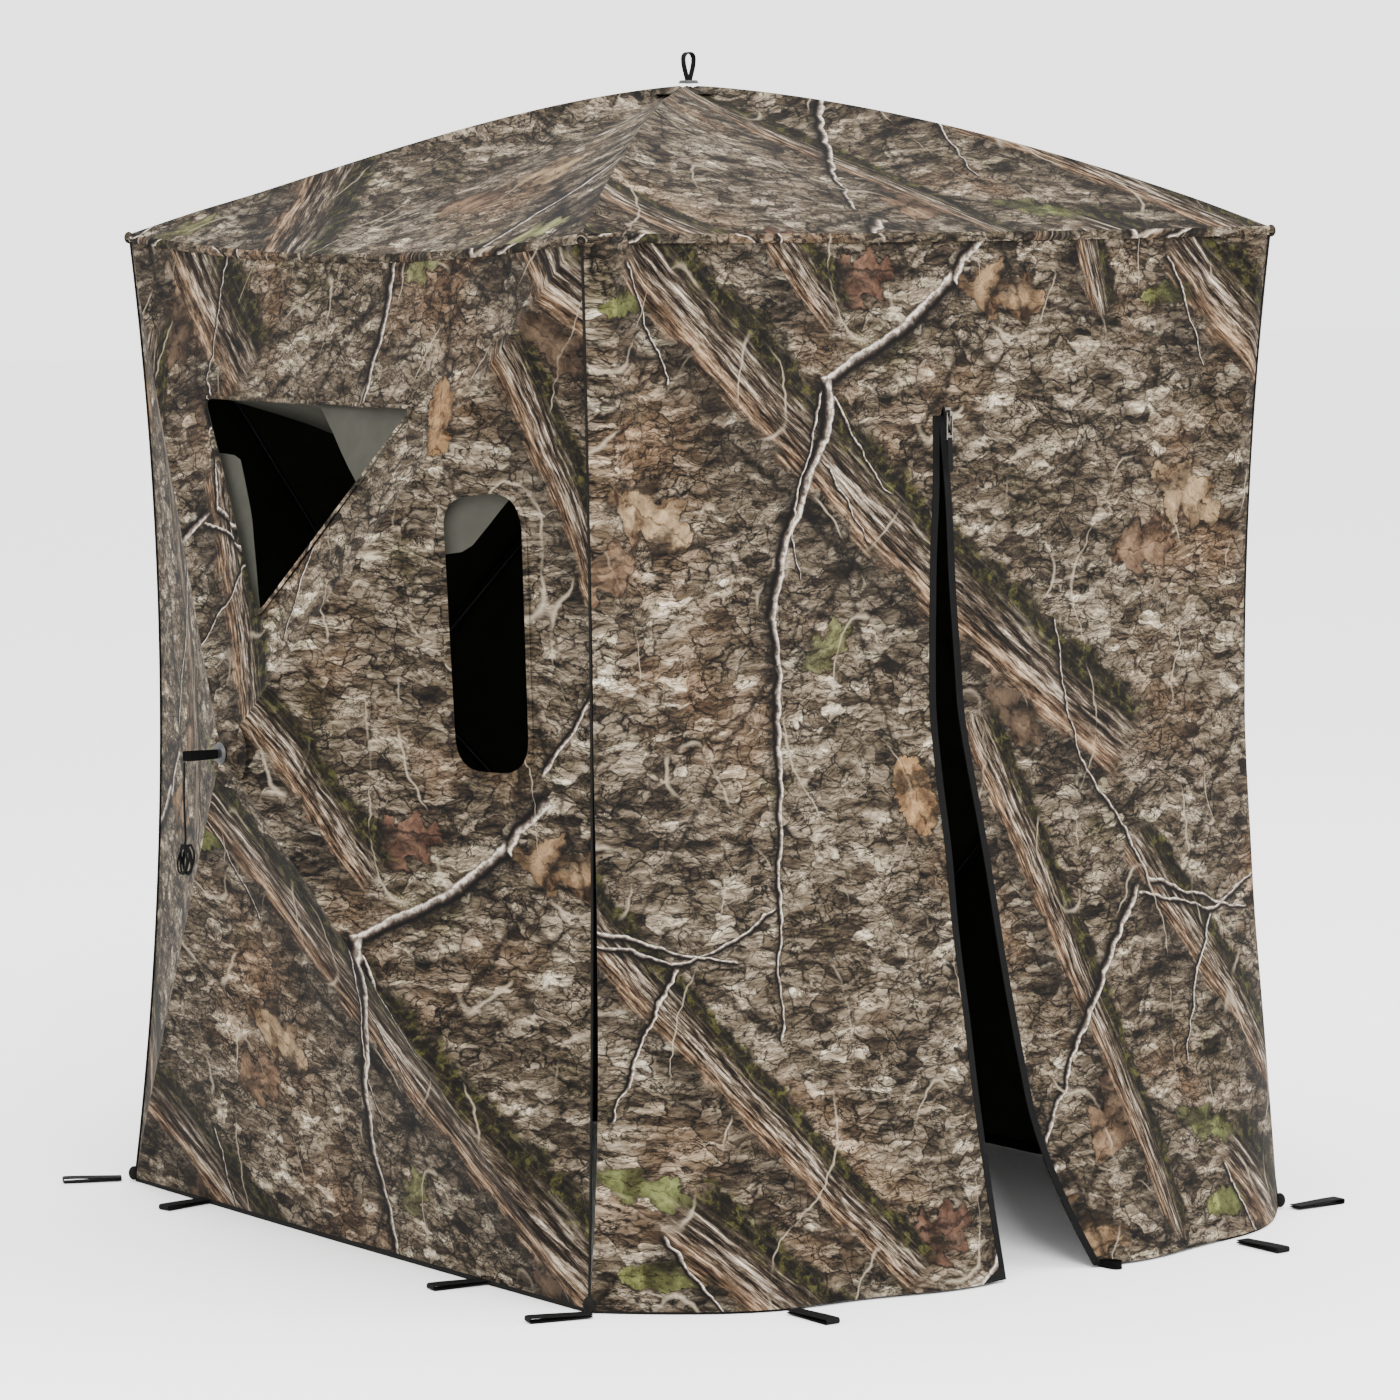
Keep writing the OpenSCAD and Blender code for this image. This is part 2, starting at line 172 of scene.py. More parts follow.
def ramp(tree, value, stops, how="LINEAR"):
    node = tree.nodes.new("ShaderNodeValToRGB")
    node.color_ramp.interpolation = how
    points = node.color_ramp.elements
    while len(points) < len(stops):
        points.new(0.5)
    for point, (place, color) in zip(points, stops):
        point.position = place
        point.color = srgb(color) if isinstance(color, str) else (color, color, color, 1)
    feed(tree, node.inputs[0], value)
    return node.outputs[0]


def grain(tree, vector, scale, detail=3.0, rough=0.5, twist=0.0, color=False):
    node = tree.nodes.new("ShaderNodeTexNoise")
    feed(tree, node.inputs["Vector"], vector)
    node.inputs["Scale"].default_value = scale
    node.inputs["Detail"].default_value = detail
    node.inputs["Roughness"].default_value = rough
    node.inputs["Distortion"].default_value = twist
    return node.outputs["Color" if color else "Fac"]


def shaderGroup(name, inputs, outputs):
    tree = bpy.data.node_groups.new(name, "ShaderNodeTree")
    for label, kind in inputs:
        tree.interface.new_socket(label, in_out="INPUT", socket_type=kind)
    for label, kind in outputs:
        tree.interface.new_socket(label, in_out="OUTPUT", socket_type=kind)
    return tree, tree.nodes.new("NodeGroupInput").outputs, tree.nodes.new("NodeGroupOutput").inputs


def useGroup(tree, group, **values):
    node = tree.nodes.new("ShaderNodeGroup")
    node.node_tree = group
    for label, value in values.items():
        feed(tree, node.inputs[label], value)
    return node.outputs


# the bark, branch and leaf print
printing = {
    "repeat": (0.96, 1.32),    # size of one repeat of the print on the cloth, in metres
    "trunks": [                # from, to, half width, bow in half widths, taper
        ((-0.53, 1.475), (0.36, 0.715), 0.070, 0.35, -0.06),
        ((-0.64, 0.60), (-0.17, 0.02), 0.044, 0.2, 0.05),
        ((0.05, 0.79), (0.30, 0.02), 0.036, -0.4, 0.2),
    ],
    "branches": [
        ((0.085, 1.468), (0.02, 1.39), 0.0115, 0.5, 0.0),
        ((0.03, 1.402), (-0.217, 1.253), 0.0130, 0.9, 0.1),
        ((-0.207, 1.266), (-0.213, 1.165), 0.0135, -0.5, 0.1),
        ((-0.211, 1.18), (-0.303, 0.925), 0.0115, 0.9, 0.15),
        ((-0.300, 0.94), (-0.303, 0.635), 0.0085, -1.4, 0.15),
        ((-0.300, 0.65), (-0.347, 0.35), 0.0045, 1.0, 0.4),
        ((0.205, 0.91), (0.235, 0.70), 0.0030, 1.0, 0.1),
        ((0.232, 0.71), (0.345, 0.518), 0.0042, -1.0, -0.2),
        ((0.335, 0.528), (0.57, 0.462), 0.0048, 1.2, 0.3),
        ((0.328, 0.53), (0.07, 0.17), 0.0072, 1.4, 0.35),
        ((-0.64, 0.506), (-0.49, 0.462), 0.0042, -1.0, 0.1),
        ((-0.50, 0.462), (-0.325, 0.535), 0.0042, 1.6, 0.2),
        ((-0.487, 0.465), (-0.590, 0.255), 0.0036, 1.4, 0.3),
        ((-0.217, 1.245), (-0.262, 1.095), 0.0034, -1.6, 0.2),
        ((-0.260, 1.105), (-0.252, 0.985), 0.0026, 1.2, 0.3),
        ((-0.195, 1.235), (-0.085, 1.095), 0.0032, 1.6, 0.4),
        ((-0.205, 1.135), (-0.130, 1.03), 0.0028, -1.6, 0.4),
        ((-0.545, 1.43), (-0.462, 1.26), 0.0032, -1.2, 0.3),
    ],
    "leaves": [                # middle, half length, half width, angle, lobes, colour
        ((-0.500, 1.080), 0.078, 0.050, -28, 9.0, "9a7f60"),
        ((-0.585, 1.005), 0.062, 0.046, 12, 8.0, "86694f"),
        ((0.105, 1.375), 0.085, 0.042, -12, 9.0, "8c6f50"),
        ((-0.070, 0.672), 0.058, 0.044, -72, 0.0, "9c7a55"),
        ((0.118, 0.775), 0.062, 0.040, -40, 9.0, "7d634b"),
        ((0.200, 0.205), 0.075, 0.044, 55, 8.0, "8a6d52"),
        ((-0.150, 0.075), 0.066, 0.040, 20, 9.0, "775540"),
        ((-0.205, 0.885), 0.050, 0.032, 30, 8.0, "837b52"),
        ((0.430, 1.375), 0.062, 0.026, 5, 0.0, "84804a"),
        ((-0.560, 0.170), 0.070, 0.026, -18, 9.0, "747142"),
    ],
}


def wrapped(tree, point, centre):
    away = vec(tree, "SUBTRACT", point, centre)
    w, h = printing["repeat"]
    return vec(tree, "WRAP", away, (w / 2, h / 2, 1), (-w / 2, -h / 2, -1))


def makeLimb():
    sockets = [("Point", "NodeSocketVector"), ("Centre", "NodeSocketVector"), ("Along", "NodeSocketVector"),
               ("Across", "NodeSocketVector"), ("Bow", "NodeSocketFloat"), ("Taper", "NodeSocketFloat"),
               ("Crisp", "NodeSocketFloat"), ("Ragged", "NodeSocketFloat")]
    outs = [(n, "NodeSocketFloat") for n in ("Mask", "Side", "Run", "Shade")]
    tree, i, o = shaderGroup("limb", sockets, outs)
    away = wrapped(tree, i["Point"], i["Centre"])
    run = vec(tree, "DOT_PRODUCT", away, i["Along"])
    side = vec(tree, "DOT_PRODUCT", away, i["Across"])
    arch = calc(tree, "SUBTRACT", 1.0, calc(tree, "MULTIPLY", run, run))
    side = calc(tree, "MULTIPLY_ADD", arch, i["Bow"], side)
    wide = calc(tree, "MULTIPLY_ADD", calc(tree, "MULTIPLY", run, -1.0), i["Taper"], 1.0)
    side = calc(tree, "DIVIDE", side, wide)
    torn = calc(tree, "ADD", calc(tree, "ABSOLUTE", side), i["Ragged"])
    body = calc(tree, "MULTIPLY", calc(tree, "SUBTRACT", 1.0, torn), i["Crisp"], clamp=True)
    ends = calc(tree, "MULTIPLY", calc(tree, "SUBTRACT", 1.0, calc(tree, "ABSOLUTE", run)), 14.0, clamp=True)
    low = calc(tree, "ABSOLUTE", calc(tree, "ADD", side, 0.9))
    shade = calc(tree, "SUBTRACT", 1.0, calc(tree, "MULTIPLY", low, 0.62), clamp=True)
    feed(tree, o["Mask"], calc(tree, "MULTIPLY", body, ends))
    feed(tree, o["Side"], side)
    feed(tree, o["Run"], run)
    feed(tree, o["Shade"], calc(tree, "MULTIPLY", shade, ends))
    return tree


def makeLeaf():
    sockets = [("Point", "NodeSocketVector"), ("Centre", "NodeSocketVector"), ("Along", "NodeSocketVector"),
               ("Across", "NodeSocketVector"), ("Lobes", "NodeSocketFloat"), ("Depth", "NodeSocketFloat")]
    outs = [(n, "NodeSocketFloat") for n in ("Mask", "Tone", "Shade")]
    tree, i, o = shaderGroup("leaf", sockets, outs)
    away = wrapped(tree, i["Point"], i["Centre"])
    run = vec(tree, "DOT_PRODUCT", away, i["Along"])
    side = calc(tree, "ABSOLUTE", vec(tree, "DOT_PRODUCT", away, i["Across"]))
    plump = calc(tree, "SQRT", calc(tree, "SUBTRACT", 1.0, calc(tree, "MULTIPLY", run, run), clamp=True))
    # the veins slant, so the lobes are cut along a slanted run
    slant = calc(tree, "MULTIPLY_ADD", side, -0.45, run)
    wave = calc(tree, "SINE", calc(tree, "MULTIPLY", slant, i["Lobes"]))
    cut = calc(tree, "MULTIPLY_ADD", wave, i["Depth"], 0.78)
    rim = calc(tree, "SUBTRACT", calc(tree, "MULTIPLY", plump, cut), side)
    mask = calc(tree, "MULTIPLY", rim, 16.0, clamp=True)
    vein = calc(tree, "SINE", calc(tree, "MULTIPLY", slant, 34.0))
    vein = calc(tree, "MULTIPLY", calc(tree, "SUBTRACT", vein, 0.72), 1.6, clamp=True)
    spine = calc(tree, "SUBTRACT", 1.0, calc(tree, "MULTIPLY", side, 22.0), clamp=True)
    lines = calc(tree, "MAXIMUM", calc(tree, "MULTIPLY", vein, 0.6), spine)
    lit = calc(tree, "MULTIPLY_ADD", lines, -0.34, calc(tree, "MULTIPLY_ADD", rim, 0.35, 0.34))
    feed(tree, o["Mask"], mask)
    feed(tree, o["Tone"], lit)
    feed(tree, o["Shade"], calc(tree, "MULTIPLY_ADD", rim, 6.0, 1.0, clamp=True))
    return tree


def placed(a, b, wide):
    a, b = Vector(a), Vector(b)
    way = (b - a) / 2
    across = Vector((-way.y, way.x)).normalized() / wide
    if across.x + across.y < 0:
        across = -across
    return (*((a + b) / 2), 0), (*(way / way.length_squared), 0), (*across, 0)


def makePrint():
    limb, leaf = makeLimb(), makeLeaf()
    tree, i, o = shaderGroup("barkPrint", [("Cloth", "NodeSocketVector")],
                             [("Color", "NodeSocketColor")])
    cloth = i["Cloth"]
    drift = vec(tree, "SUBTRACT", grain(tree, cloth, 11, 3, 0.55, color=True), (0.5, 0.5, 0.5))
    wavy = vec(tree, "MULTIPLY_ADD", drift, (0.030, 0.030, 0), cloth)
    ragged = vec(tree, "SUBTRACT", grain(tree, cloth, 70, 2, 0.6, color=True), (0.5, 0.5, 0.5))
    torn = vec(tree, "MULTIPLY_ADD", ragged, (0.022, 0.022, 0), wavy)
    gentle = vec(tree, "MULTIPLY_ADD", drift, (0.012, 0.010, 0), cloth)

    # weathered wood, streaked sideways
    lying = vec(tree, "MULTIPLY", vec(tree, "MULTIPLY_ADD", drift, (0.05, 0.030, 0), cloth), (1, 3.3, 1))
    streak = grain(tree, lying, 19, 10, 0.74, 0.25)
    plates = grain(tree, vec(tree, "MULTIPLY", torn, (1, 2.6, 1)), 8, 5, 0.62, 0.3)
    shade = grain(tree, wavy, 3.6, 3, 0.55, 0.4)
    hue = grain(tree, cloth, 3.1, 3, 0.6)
    # curled plates of bark, each with a thin dark outline
    curled = vec(tree, "SUBTRACT", grain(tree, cloth, 26, 3, 0.55, color=True), (0.5, 0.5, 0.5))
    flakes = vec(tree, "MULTIPLY", vec(tree, "MULTIPLY_ADD", curled, (0.045, 0.030, 0), wavy), (1, 1.9, 1))
    cells = tree.nodes.new("ShaderNodeTexVoronoi")
    cells.feature = "DISTANCE_TO_EDGE"
    feed(tree, cells.inputs["Vector"], flakes)
    cells.inputs["Scale"].default_value = 27
    chips = tree.nodes.new("ShaderNodeTexVoronoi")
    feed(tree, chips.inputs["Vector"], flakes)
    chips.inputs["Scale"].default_value = 27
    chipTone = vec(tree, "DOT_PRODUCT", chips.outputs["Color"], (0.34, 0.33, 0.33))
    tone = calc(tree, "MULTIPLY_ADD", calc(tree, "SUBTRACT", streak, 0.5), 0.82, 0.495)
    tone = calc(tree, "MULTIPLY_ADD", calc(tree, "SUBTRACT", plates, 0.5), 0.30, tone)
    tone = calc(tree, "MULTIPLY_ADD", calc(tree, "SUBTRACT", chipTone, 0.5), 0.24, tone)
    tone = calc(tree, "MULTIPLY_ADD", calc(tree, "SUBTRACT", shade, 0.5), 0.16, tone)
    color = ramp(tree, tone, [(0.30, "1c1712"), (0.385, "423930"), (0.46, "645a4b"), (0.54, "83786a"),
                              (0.615, "a89d8a"), (0.71, "dbd3c2")])
    warm = ramp(tree, hue, [(0.52, 0.0), (0.66, 0.45)])
    color = blendColor(tree, warm, color, srgb("b7906f"), "MULTIPLY")
    color = blendColor(tree, calc(tree, "MULTIPLY", warm, 0.30), color, srgb("a58464"), "SCREEN")
    moss = ramp(tree, grain(tree, torn, 5.2, 5, 0.65), [(0.58, 0.0), (0.68, 0.55)])
    color = blendColor(tree, moss, color, srgb("6f7449"), "OVERLAY")
    edge = calc(tree, "SUBTRACT", 1.0, calc(tree, "MULTIPLY", cells.outputs["Distance"], 16.0), clamp=True)
    seams = ramp(tree, plates, [(0.42, 1.0), (0.62, 0.30)])
    color = blendColor(tree, calc(tree, "MULTIPLY", edge, seams), color, srgb("16120e"))
    for size, flat, thin, depth in ((14, 2.4, 48.0, 0.95), (36, 2.0, 24.0, 0.70)):
        crack = grain(tree, vec(tree, "MULTIPLY", wavy, (1, flat, 1)), size, 5, 0.58, 0.9)
        fissure = calc(tree, "ABSOLUTE", calc(tree, "SUBTRACT", crack, 0.5))
        fissure = calc(tree, "SUBTRACT", 1.0, calc(tree, "MULTIPLY", fissure, thin), clamp=True)
        color = blendColor(tree, calc(tree, "MULTIPLY", fissure, depth), color, srgb("110d0a"))

    # leaves lie under the branches
    leafTone = grain(tree, torn, 24, 5, 0.7)
    for middle, long, wide, angle, lobes, shade in printing["leaves"]:
        a = math.radians(angle)
        along = (math.cos(a) / long, math.sin(a) / long, 0)
        across = (-math.sin(a) / wide, math.cos(a) / wide, 0)
        found = useGroup(tree, leaf, Point=torn, Centre=(*middle, 0), Along=along, Across=across,
                         Lobes=lobes or 30.0, Depth=0.30 if lobes else 0.05)
        light = calc(tree, "MULTIPLY_ADD", leafTone, 2.4, calc(tree, "SUBTRACT", found["Tone"], 1.28))
        r, g, b, _ = srgb(shade)
        paint = blendColor(tree, calc(tree, "MAXIMUM", light, 0.0, clamp=True), (r * 0.16, g * 0.14, b * 0.13, 1),
                           (min(1, r * 1.45 + 0.04), min(1, g * 1.60 + 0.05), min(1, b * 1.75 + 0.05), 1))
        held = calc(tree, "MULTIPLY", found["Mask"], ramp(tree, plates, [(0.38, 0.10), (0.50, 0.92)]))
        color = blendColor(tree, calc(tree, "MULTIPLY", found["Shade"], 0.7), color, srgb("15100c"))
        color = blendColor(tree, held, color, paint)

    # fallen trunks: brown edge, pale split bark, dark mossy back
    raggedEdge = grain(tree, torn, 19, 5, 0.7)
    for a, b, wide, arch, taper in printing["trunks"]:
        centre, along, across = placed(a, b, wide)
        found = useGroup(tree, limb, Point=gentle, Centre=centre, Along=along, Across=across, Bow=arch,
                         Taper=taper, Crisp=4.0, Ragged=calc(tree, "MULTIPLY_ADD", raggedEdge, 1.5, -0.72))
        fibre = tree.nodes.new("ShaderNodeCombineXYZ")
        feed(tree, fibre.inputs[0], calc(tree, "MULTIPLY", found["Run"], 0.9))
        feed(tree, fibre.inputs[1], calc(tree, "MULTIPLY", found["Side"], 1.15))
        feed(tree, fibre.inputs[2], wide * 100)
        split = grain(tree, fibre.outputs[0], 7.5, 9, 0.76, 0.12)
        light = calc(tree, "MULTIPLY_ADD", found["Side"], -0.05, split)
        bark = ramp(tree, light, [(0.38, "0e0b09"), (0.455, "2e2620"), (0.515, "5a4f43"), (0.57, "8c8174"),
                                  (0.66, "cfc6b8")])
        rim = calc(tree, "SUBTRACT", calc(tree, "MULTIPLY", found["Side"], -1.0), 0.30)
        rim = calc(tree, "MULTIPLY", rim, 3.0, clamp=True)
        brown = ramp(tree, split, [(0.42, "1b140f"), (0.52, "67513d"), (0.62, "a58a6b")])
        bark = blendColor(tree, calc(tree, "MULTIPLY", rim, 0.75), bark, brown)
        back = calc(tree, "MULTIPLY", calc(tree, "SUBTRACT", found["Side"], -0.05), 2.0, clamp=True)
        green = ramp(tree, grain(tree, torn, 60, 4, 0.75), [(0.40, "120f0b"), (0.52, "2c281c"), (0.62, "55542f")])
        bark = blendColor(tree, calc(tree, "MULTIPLY", back, 0.86), bark, green)
        color = blendColor(tree, calc(tree, "MULTIPLY", found["Shade"], 0.55), color, srgb("15110e"))
        color = blendColor(tree, found["Mask"], color, bark)

    # pale branches, dark along their lower edge
    knot = vec(tree, "SUBTRACT", grain(tree, cloth, 34, 2, 0.5, color=True), (0.5, 0.5, 0.5))
    knotted = vec(tree, "MULTIPLY_ADD", knot, (0.013, 0.010, 0), wavy)
    cover, lit, dark = 0.0, 0.0, 0.0
    for a, b, wide, arch, taper in printing["branches"]:
        centre, along, across = placed(a, b, wide)
        found = useGroup(tree, limb, Point=knotted, Centre=centre, Along=along, Across=across, Bow=arch,
                         Taper=taper, Crisp=2.6, Ragged=0.0)
        cover = calc(tree, "MAXIMUM", found["Mask"], cover)
        sunny = calc(tree, "MULTIPLY_ADD", found["Side"], 0.85, 0.42)
        lit = calc(tree, "MAXIMUM", calc(tree, "MULTIPLY", found["Mask"], sunny), lit)
        dark = calc(tree, "MAXIMUM", found["Shade"], dark)
    scuffs = grain(tree, cloth, 130, 3, 0.7)
    wood = ramp(tree, calc(tree, "MULTIPLY", lit, calc(tree, "MULTIPLY_ADD", scuffs, 1.9, 0.02)),
                [(0.10, "17120f"), (0.34, "443b35"), (0.62, "83796f"), (0.95, "c9c1b6")])
    color = blendColor(tree, calc(tree, "MULTIPLY", dark, 0.6), color, srgb("110e0b"))
    color = blendColor(tree, cover, color, wood)

    # hair-thin twigs from a ridged noise
    hair = grain(tree, vec(tree, "MULTIPLY", knotted, (1.0, 0.55, 1)), 7.0, 0.0, 0.4, 0.0)
    hair = calc(tree, "ABSOLUTE", calc(tree, "SUBTRACT", hair, 0.53))
    hair = calc(tree, "SUBTRACT", 1.0, calc(tree, "MULTIPLY", hair, 120.0), clamp=True)
    patchy = ramp(tree, grain(tree, cloth, 9.0, 2, 0.5), [(0.48, 0.0), (0.58, 0.8)])
    color = blendColor(tree, calc(tree, "MULTIPLY", hair, patchy), color, srgb("a89d8c"))
    feed(tree, o["Color"], color)
    return tree


def makeWeave():
    sockets = [("Cloth", "NodeSocketVector"), ("Pitch", "NodeSocketFloat"), ("Rumple", "NodeSocketFloat")]
    tree, i, o = shaderGroup("weave", sockets, [("Height", "NodeSocketFloat")])
    cell = vec(tree, "SCALE", i["Cloth"], i["Pitch"])
    parts = tree.nodes.new("ShaderNodeSeparateXYZ")
    feed(tree, parts.inputs[0], cell)
    warp = calc(tree, "SINE", parts.outputs[0])
    weft = calc(tree, "SINE", parts.outputs[1])
    thread = calc(tree, "MULTIPLY", calc(tree, "MULTIPLY", warp, weft), 0.5)
    folds = grain(tree, i["Cloth"], 7.0, 4, 0.55, 0.8)
    soft = grain(tree, i["Cloth"], 28.0, 3, 0.6, 0.4)
    fine = calc(tree, "MULTIPLY_ADD", thread, 0.05, calc(tree, "MULTIPLY", soft, 0.25))
    feed(tree, o["Height"], calc(tree, "MULTIPLY_ADD", folds, i["Rumple"], fine))
    return tree


def makeWear():
    sockets = [("Place", "NodeSocketVector"), ("Size", "NodeSocketFloat"), ("Amount", "NodeSocketFloat")]
    tree, i, o = shaderGroup("wear", sockets, [("Light", "NodeSocketFloat"), ("Scratch", "NodeSocketFloat")])
    place = vec(tree, "SCALE", i["Place"], i["Size"])
    cloud = grain(tree, place, 1.0, 4, 0.6)
    fine = grain(tree, vec(tree, "MULTIPLY", place, (3, 3, 22)), 1.0, 3, 0.6)
    feed(tree, o["Light"], calc(tree, "MULTIPLY_ADD", calc(tree, "SUBTRACT", cloud, 0.5), i["Amount"], 1.0))
    feed(tree, o["Scratch"], fine)
    return tree


barkPrint, weave, wear = makePrint(), makeWeave(), makeWear()
print("print groups built")

# materials


def newMaterial(name):
    material = bpy.data.materials.new(name)
    material.use_nodes = True
    tree = material.node_tree
    shader = tree.nodes["Principled BSDF"]
    return material, tree, shader


def clothVector(tree, layer="cloth"):
    if not layer:
        return tree.nodes.new("ShaderNodeTexCoord").outputs["Object"]
    node = tree.nodes.new("ShaderNodeUVMap")
    node.uv_map = layer
    return node.outputs[0]


def addBump(tree, shader, height, strength, distance):
    node = tree.nodes.new("ShaderNodeBump")
    node.inputs["Strength"].default_value = strength
    node.inputs["Distance"].default_value = distance
    feed(tree, node.inputs["Height"], height)
    feed(tree, shader.inputs["Normal"], node.outputs[0])


def camoMaterial():
    material, tree, shader = newMaterial("camo cloth")
    cloth = clothVector(tree)
    found = useGroup(tree, barkPrint, Cloth=cloth)
    fade = grain(tree, cloth, 2.3, 3, 0.5)
    deep = tree.nodes.new("ShaderNodeGamma")
    feed(tree, deep.inputs[0], found["Color"])
    deep.inputs[1].default_value = 1.42
    light = calc(tree, "MULTIPLY_ADD", fade, 0.66, 0.65)
    cooled = vec(tree, "MULTIPLY", deep.outputs[0], (0.98, 1.0, 1.03))
    color = vec(tree, "SCALE", cooled, light)
    feed(tree, shader.inputs["Base Color"], color)
    feed(tree, shader.inputs["Roughness"], calc(tree, "MULTIPLY_ADD", fade, 0.14, 0.80))
    shader.inputs["Specular IOR Level"].default_value = 0.12
    height = useGroup(tree, weave, Cloth=cloth, Pitch=2 * math.pi / 0.0016, Rumple=1.0)["Height"]
    addBump(tree, shader, height, 0.55, 0.006)
    return material


def fabricMaterial(name, color, light, pitch, rough=0.85, rumple=0.6, distance=0.002, layer="cloth"):
    material, tree, shader = newMaterial(name)
    cloth = clothVector(tree, layer)
    shade = useGroup(tree, wear, Place=cloth, Size=22.0, Amount=0.7)
    thread = useGroup(tree, weave, Cloth=cloth, Pitch=2 * math.pi / pitch, Rumple=rumple)["Height"]
    base = blendColor(tree, calc(tree, "MULTIPLY", thread, 0.8, clamp=True), srgb(color), srgb(light))
    base = blendColor(tree, 1.0, base, shade["Light"], "MULTIPLY")
    feed(tree, shader.inputs["Base Color"], base)
    feed(tree, shader.inputs["Roughness"], calc(tree, "MULTIPLY_ADD", shade["Scratch"], 0.2, rough - 0.1))
    shader.inputs["Specular IOR Level"].default_value = 0.08
    addBump(tree, shader, thread, 0.5, distance)
    return material


def hardMaterial(name, color, light, rough, metal=0.0, size=30.0):
    material, tree, shader = newMaterial(name)
    place = tree.nodes.new("ShaderNodeTexCoord").outputs["Object"]
    shade = useGroup(tree, wear, Place=place, Size=size, Amount=0.5)
    base = blendColor(tree, shade["Scratch"], srgb(color), srgb(light))
    base = blendColor(tree, 1.0, base, shade["Light"], "MULTIPLY")
    feed(tree, shader.inputs["Base Color"], base)
    feed(tree, shader.inputs["Roughness"], calc(tree, "MULTIPLY_ADD", shade["Scratch"], 0.25, rough - 0.12))
    shader.inputs["Metallic"].default_value = metal
    addBump(tree, shader, shade["Scratch"], 0.2, 0.0005)
    return material


camo = camoMaterial()
lining = fabricMaterial("black lining", "23231e", "35352d", 0.0018, rough=0.8)
bindingTape = fabricMaterial("binding tape", "0a0a09", "1a1917", 0.0022)
webbing = fabricMaterial("black webbing", "070707", "181817", 0.0028, rumple=0.3, distance=0.004)
coverCloth = fabricMaterial("cover cloth", "2d2d28", "403f38", 0.0018)
cordBraid = fabricMaterial("cord braid", "070707", "161615", 0.0012, rumple=0.2, layer=None)
zipTeeth = fabricMaterial("zip coil", "030303", "0b0b0b", 0.003, rough=0.75, rumple=0.1)
hubPlastic = hardMaterial("moulded nylon", "101011", "1f1f20", 0.5)
poleGloss = hardMaterial("glass fibre rod", "0b0b0c", "222224", 0.38)
pinSteel = hardMaterial("pin steel", "8f8f8e", "c4c3c0", 0.32, metal=1.0, size=80.0)
zipMetal = hardMaterial("zip metal", "3c3b39", "77756f", 0.34, metal=1.0, size=90.0)
print("materials built")

# mesh helpers


def newPiece(name, bm, materials, body, nodes=()):
    mesh = bpy.data.meshes.new(name)
    bm.to_mesh(mesh)
    bm.free()
    piece = bpy.data.objects.new(name, mesh)
    bpy.context.scene.collection.objects.link(piece)
    for m in materials:
        mesh.materials.append(m)
    if body:
        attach(piece, body)
    if nodes:
        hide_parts(*nodes)
    return piece


def paintCloth(bm, faces, spot):
    layer = bm.loops.layers.uv.get("cloth") or bm.loops.layers.uv.new("cloth")
    for face in faces:
        for loop in face.loops:
            loop[layer].uv = spot(loop.vert.co)


def closedPiece(name, bm, materials, body, nodes=(), wall=None):
    if wall:
        bmesh.ops.solidify(bm, geom=bm.faces[:], thickness=wall)
    bmesh.ops.recalc_face_normals(bm, faces=bm.faces)
    piece = newPiece(name, bm, materials, body, nodes)
    sharpen(piece.data)
    return piece


# place gives the point for s, t from 0 to 1; cloth gives its spot on the print
def gridSheet(bm, across, along, place, cloth):
    made = bmesh.ops.create_grid(bm, x_segments=across, y_segments=along, size=1.0)
    spots = {v: ((v.co.x + 1) / 2, (v.co.y + 1) / 2) for v in made["verts"]}
    layer = bm.loops.layers.uv.get("cloth") or bm.loops.layers.uv.new("cloth")
    faces = {f for v in made["verts"] for f in v.link_faces}
    ends = {v: Vector(place(*st)) for v, st in spots.items()}
    for face in faces:
        for loop in face.loops:
            s, t = spots[loop.vert]
            loop[layer].uv = cloth(s, t, ends[loop.vert])
    for v, p in ends.items():
        v.co = p
    return list(faces)


def faceOut(bm, faces, way):
    bm.normal_update()
    if sum(f.normal.dot(way(f.calc_center_median())) * f.calc_area() for f in faces) < 0:
        bmesh.ops.reverse_faces(bm, faces=faces)


def sharpen(mesh, degrees=38):
    bm = bmesh.new()
    bm.from_mesh(mesh)
    limit = math.radians(degrees)
    for e in bm.edges:
        e.smooth = len(e.link_faces) == 2 and e.calc_face_angle(0) < limit
    for f in bm.faces:
        f.smooth = True
    bm.to_mesh(mesh)
    bm.free()


# gives the cloth its wall, with the inside in the lining's slot, and cuts the windows
def thicken(piece, thick, cutters=(), insideSlot=1):
    shell = piece.modifiers.new("shell", "SOLIDIFY")
    shell.thickness = thick
    shell.offset = -1
    shell.material_offset = insideSlot
    shell.material_offset_rim = insideSlot
    for cutter in cutters:
        hole = piece.modifiers.new("hole", "BOOLEAN")
        hole.operation = "DIFFERENCE"
        hole.solver = "EXACT"
        hole.object = cutter
    bpy.context.view_layer.update()
    dg = bpy.context.evaluated_depsgraph_get()
    mesh = bpy.data.meshes.new_from_object(piece.evaluated_get(dg), preserve_all_data_layers=True, depsgraph=dg)
    piece.modifiers.clear()
    old = piece.data
    piece.data = mesh
    bpy.data.meshes.remove(old)
    for cutter in cutters:
        bpy.data.objects.remove(cutter)
    sharpen(mesh)


def wrinkle(x, z, seed, scale=3.0):
    fine = scale * 2.3
    broad = noise.noise(Vector((x * scale, z * scale, seed)))
    return broad + 0.5 * noise.noise(Vector((x * fine, z * fine, seed + 7)))


# hub walls


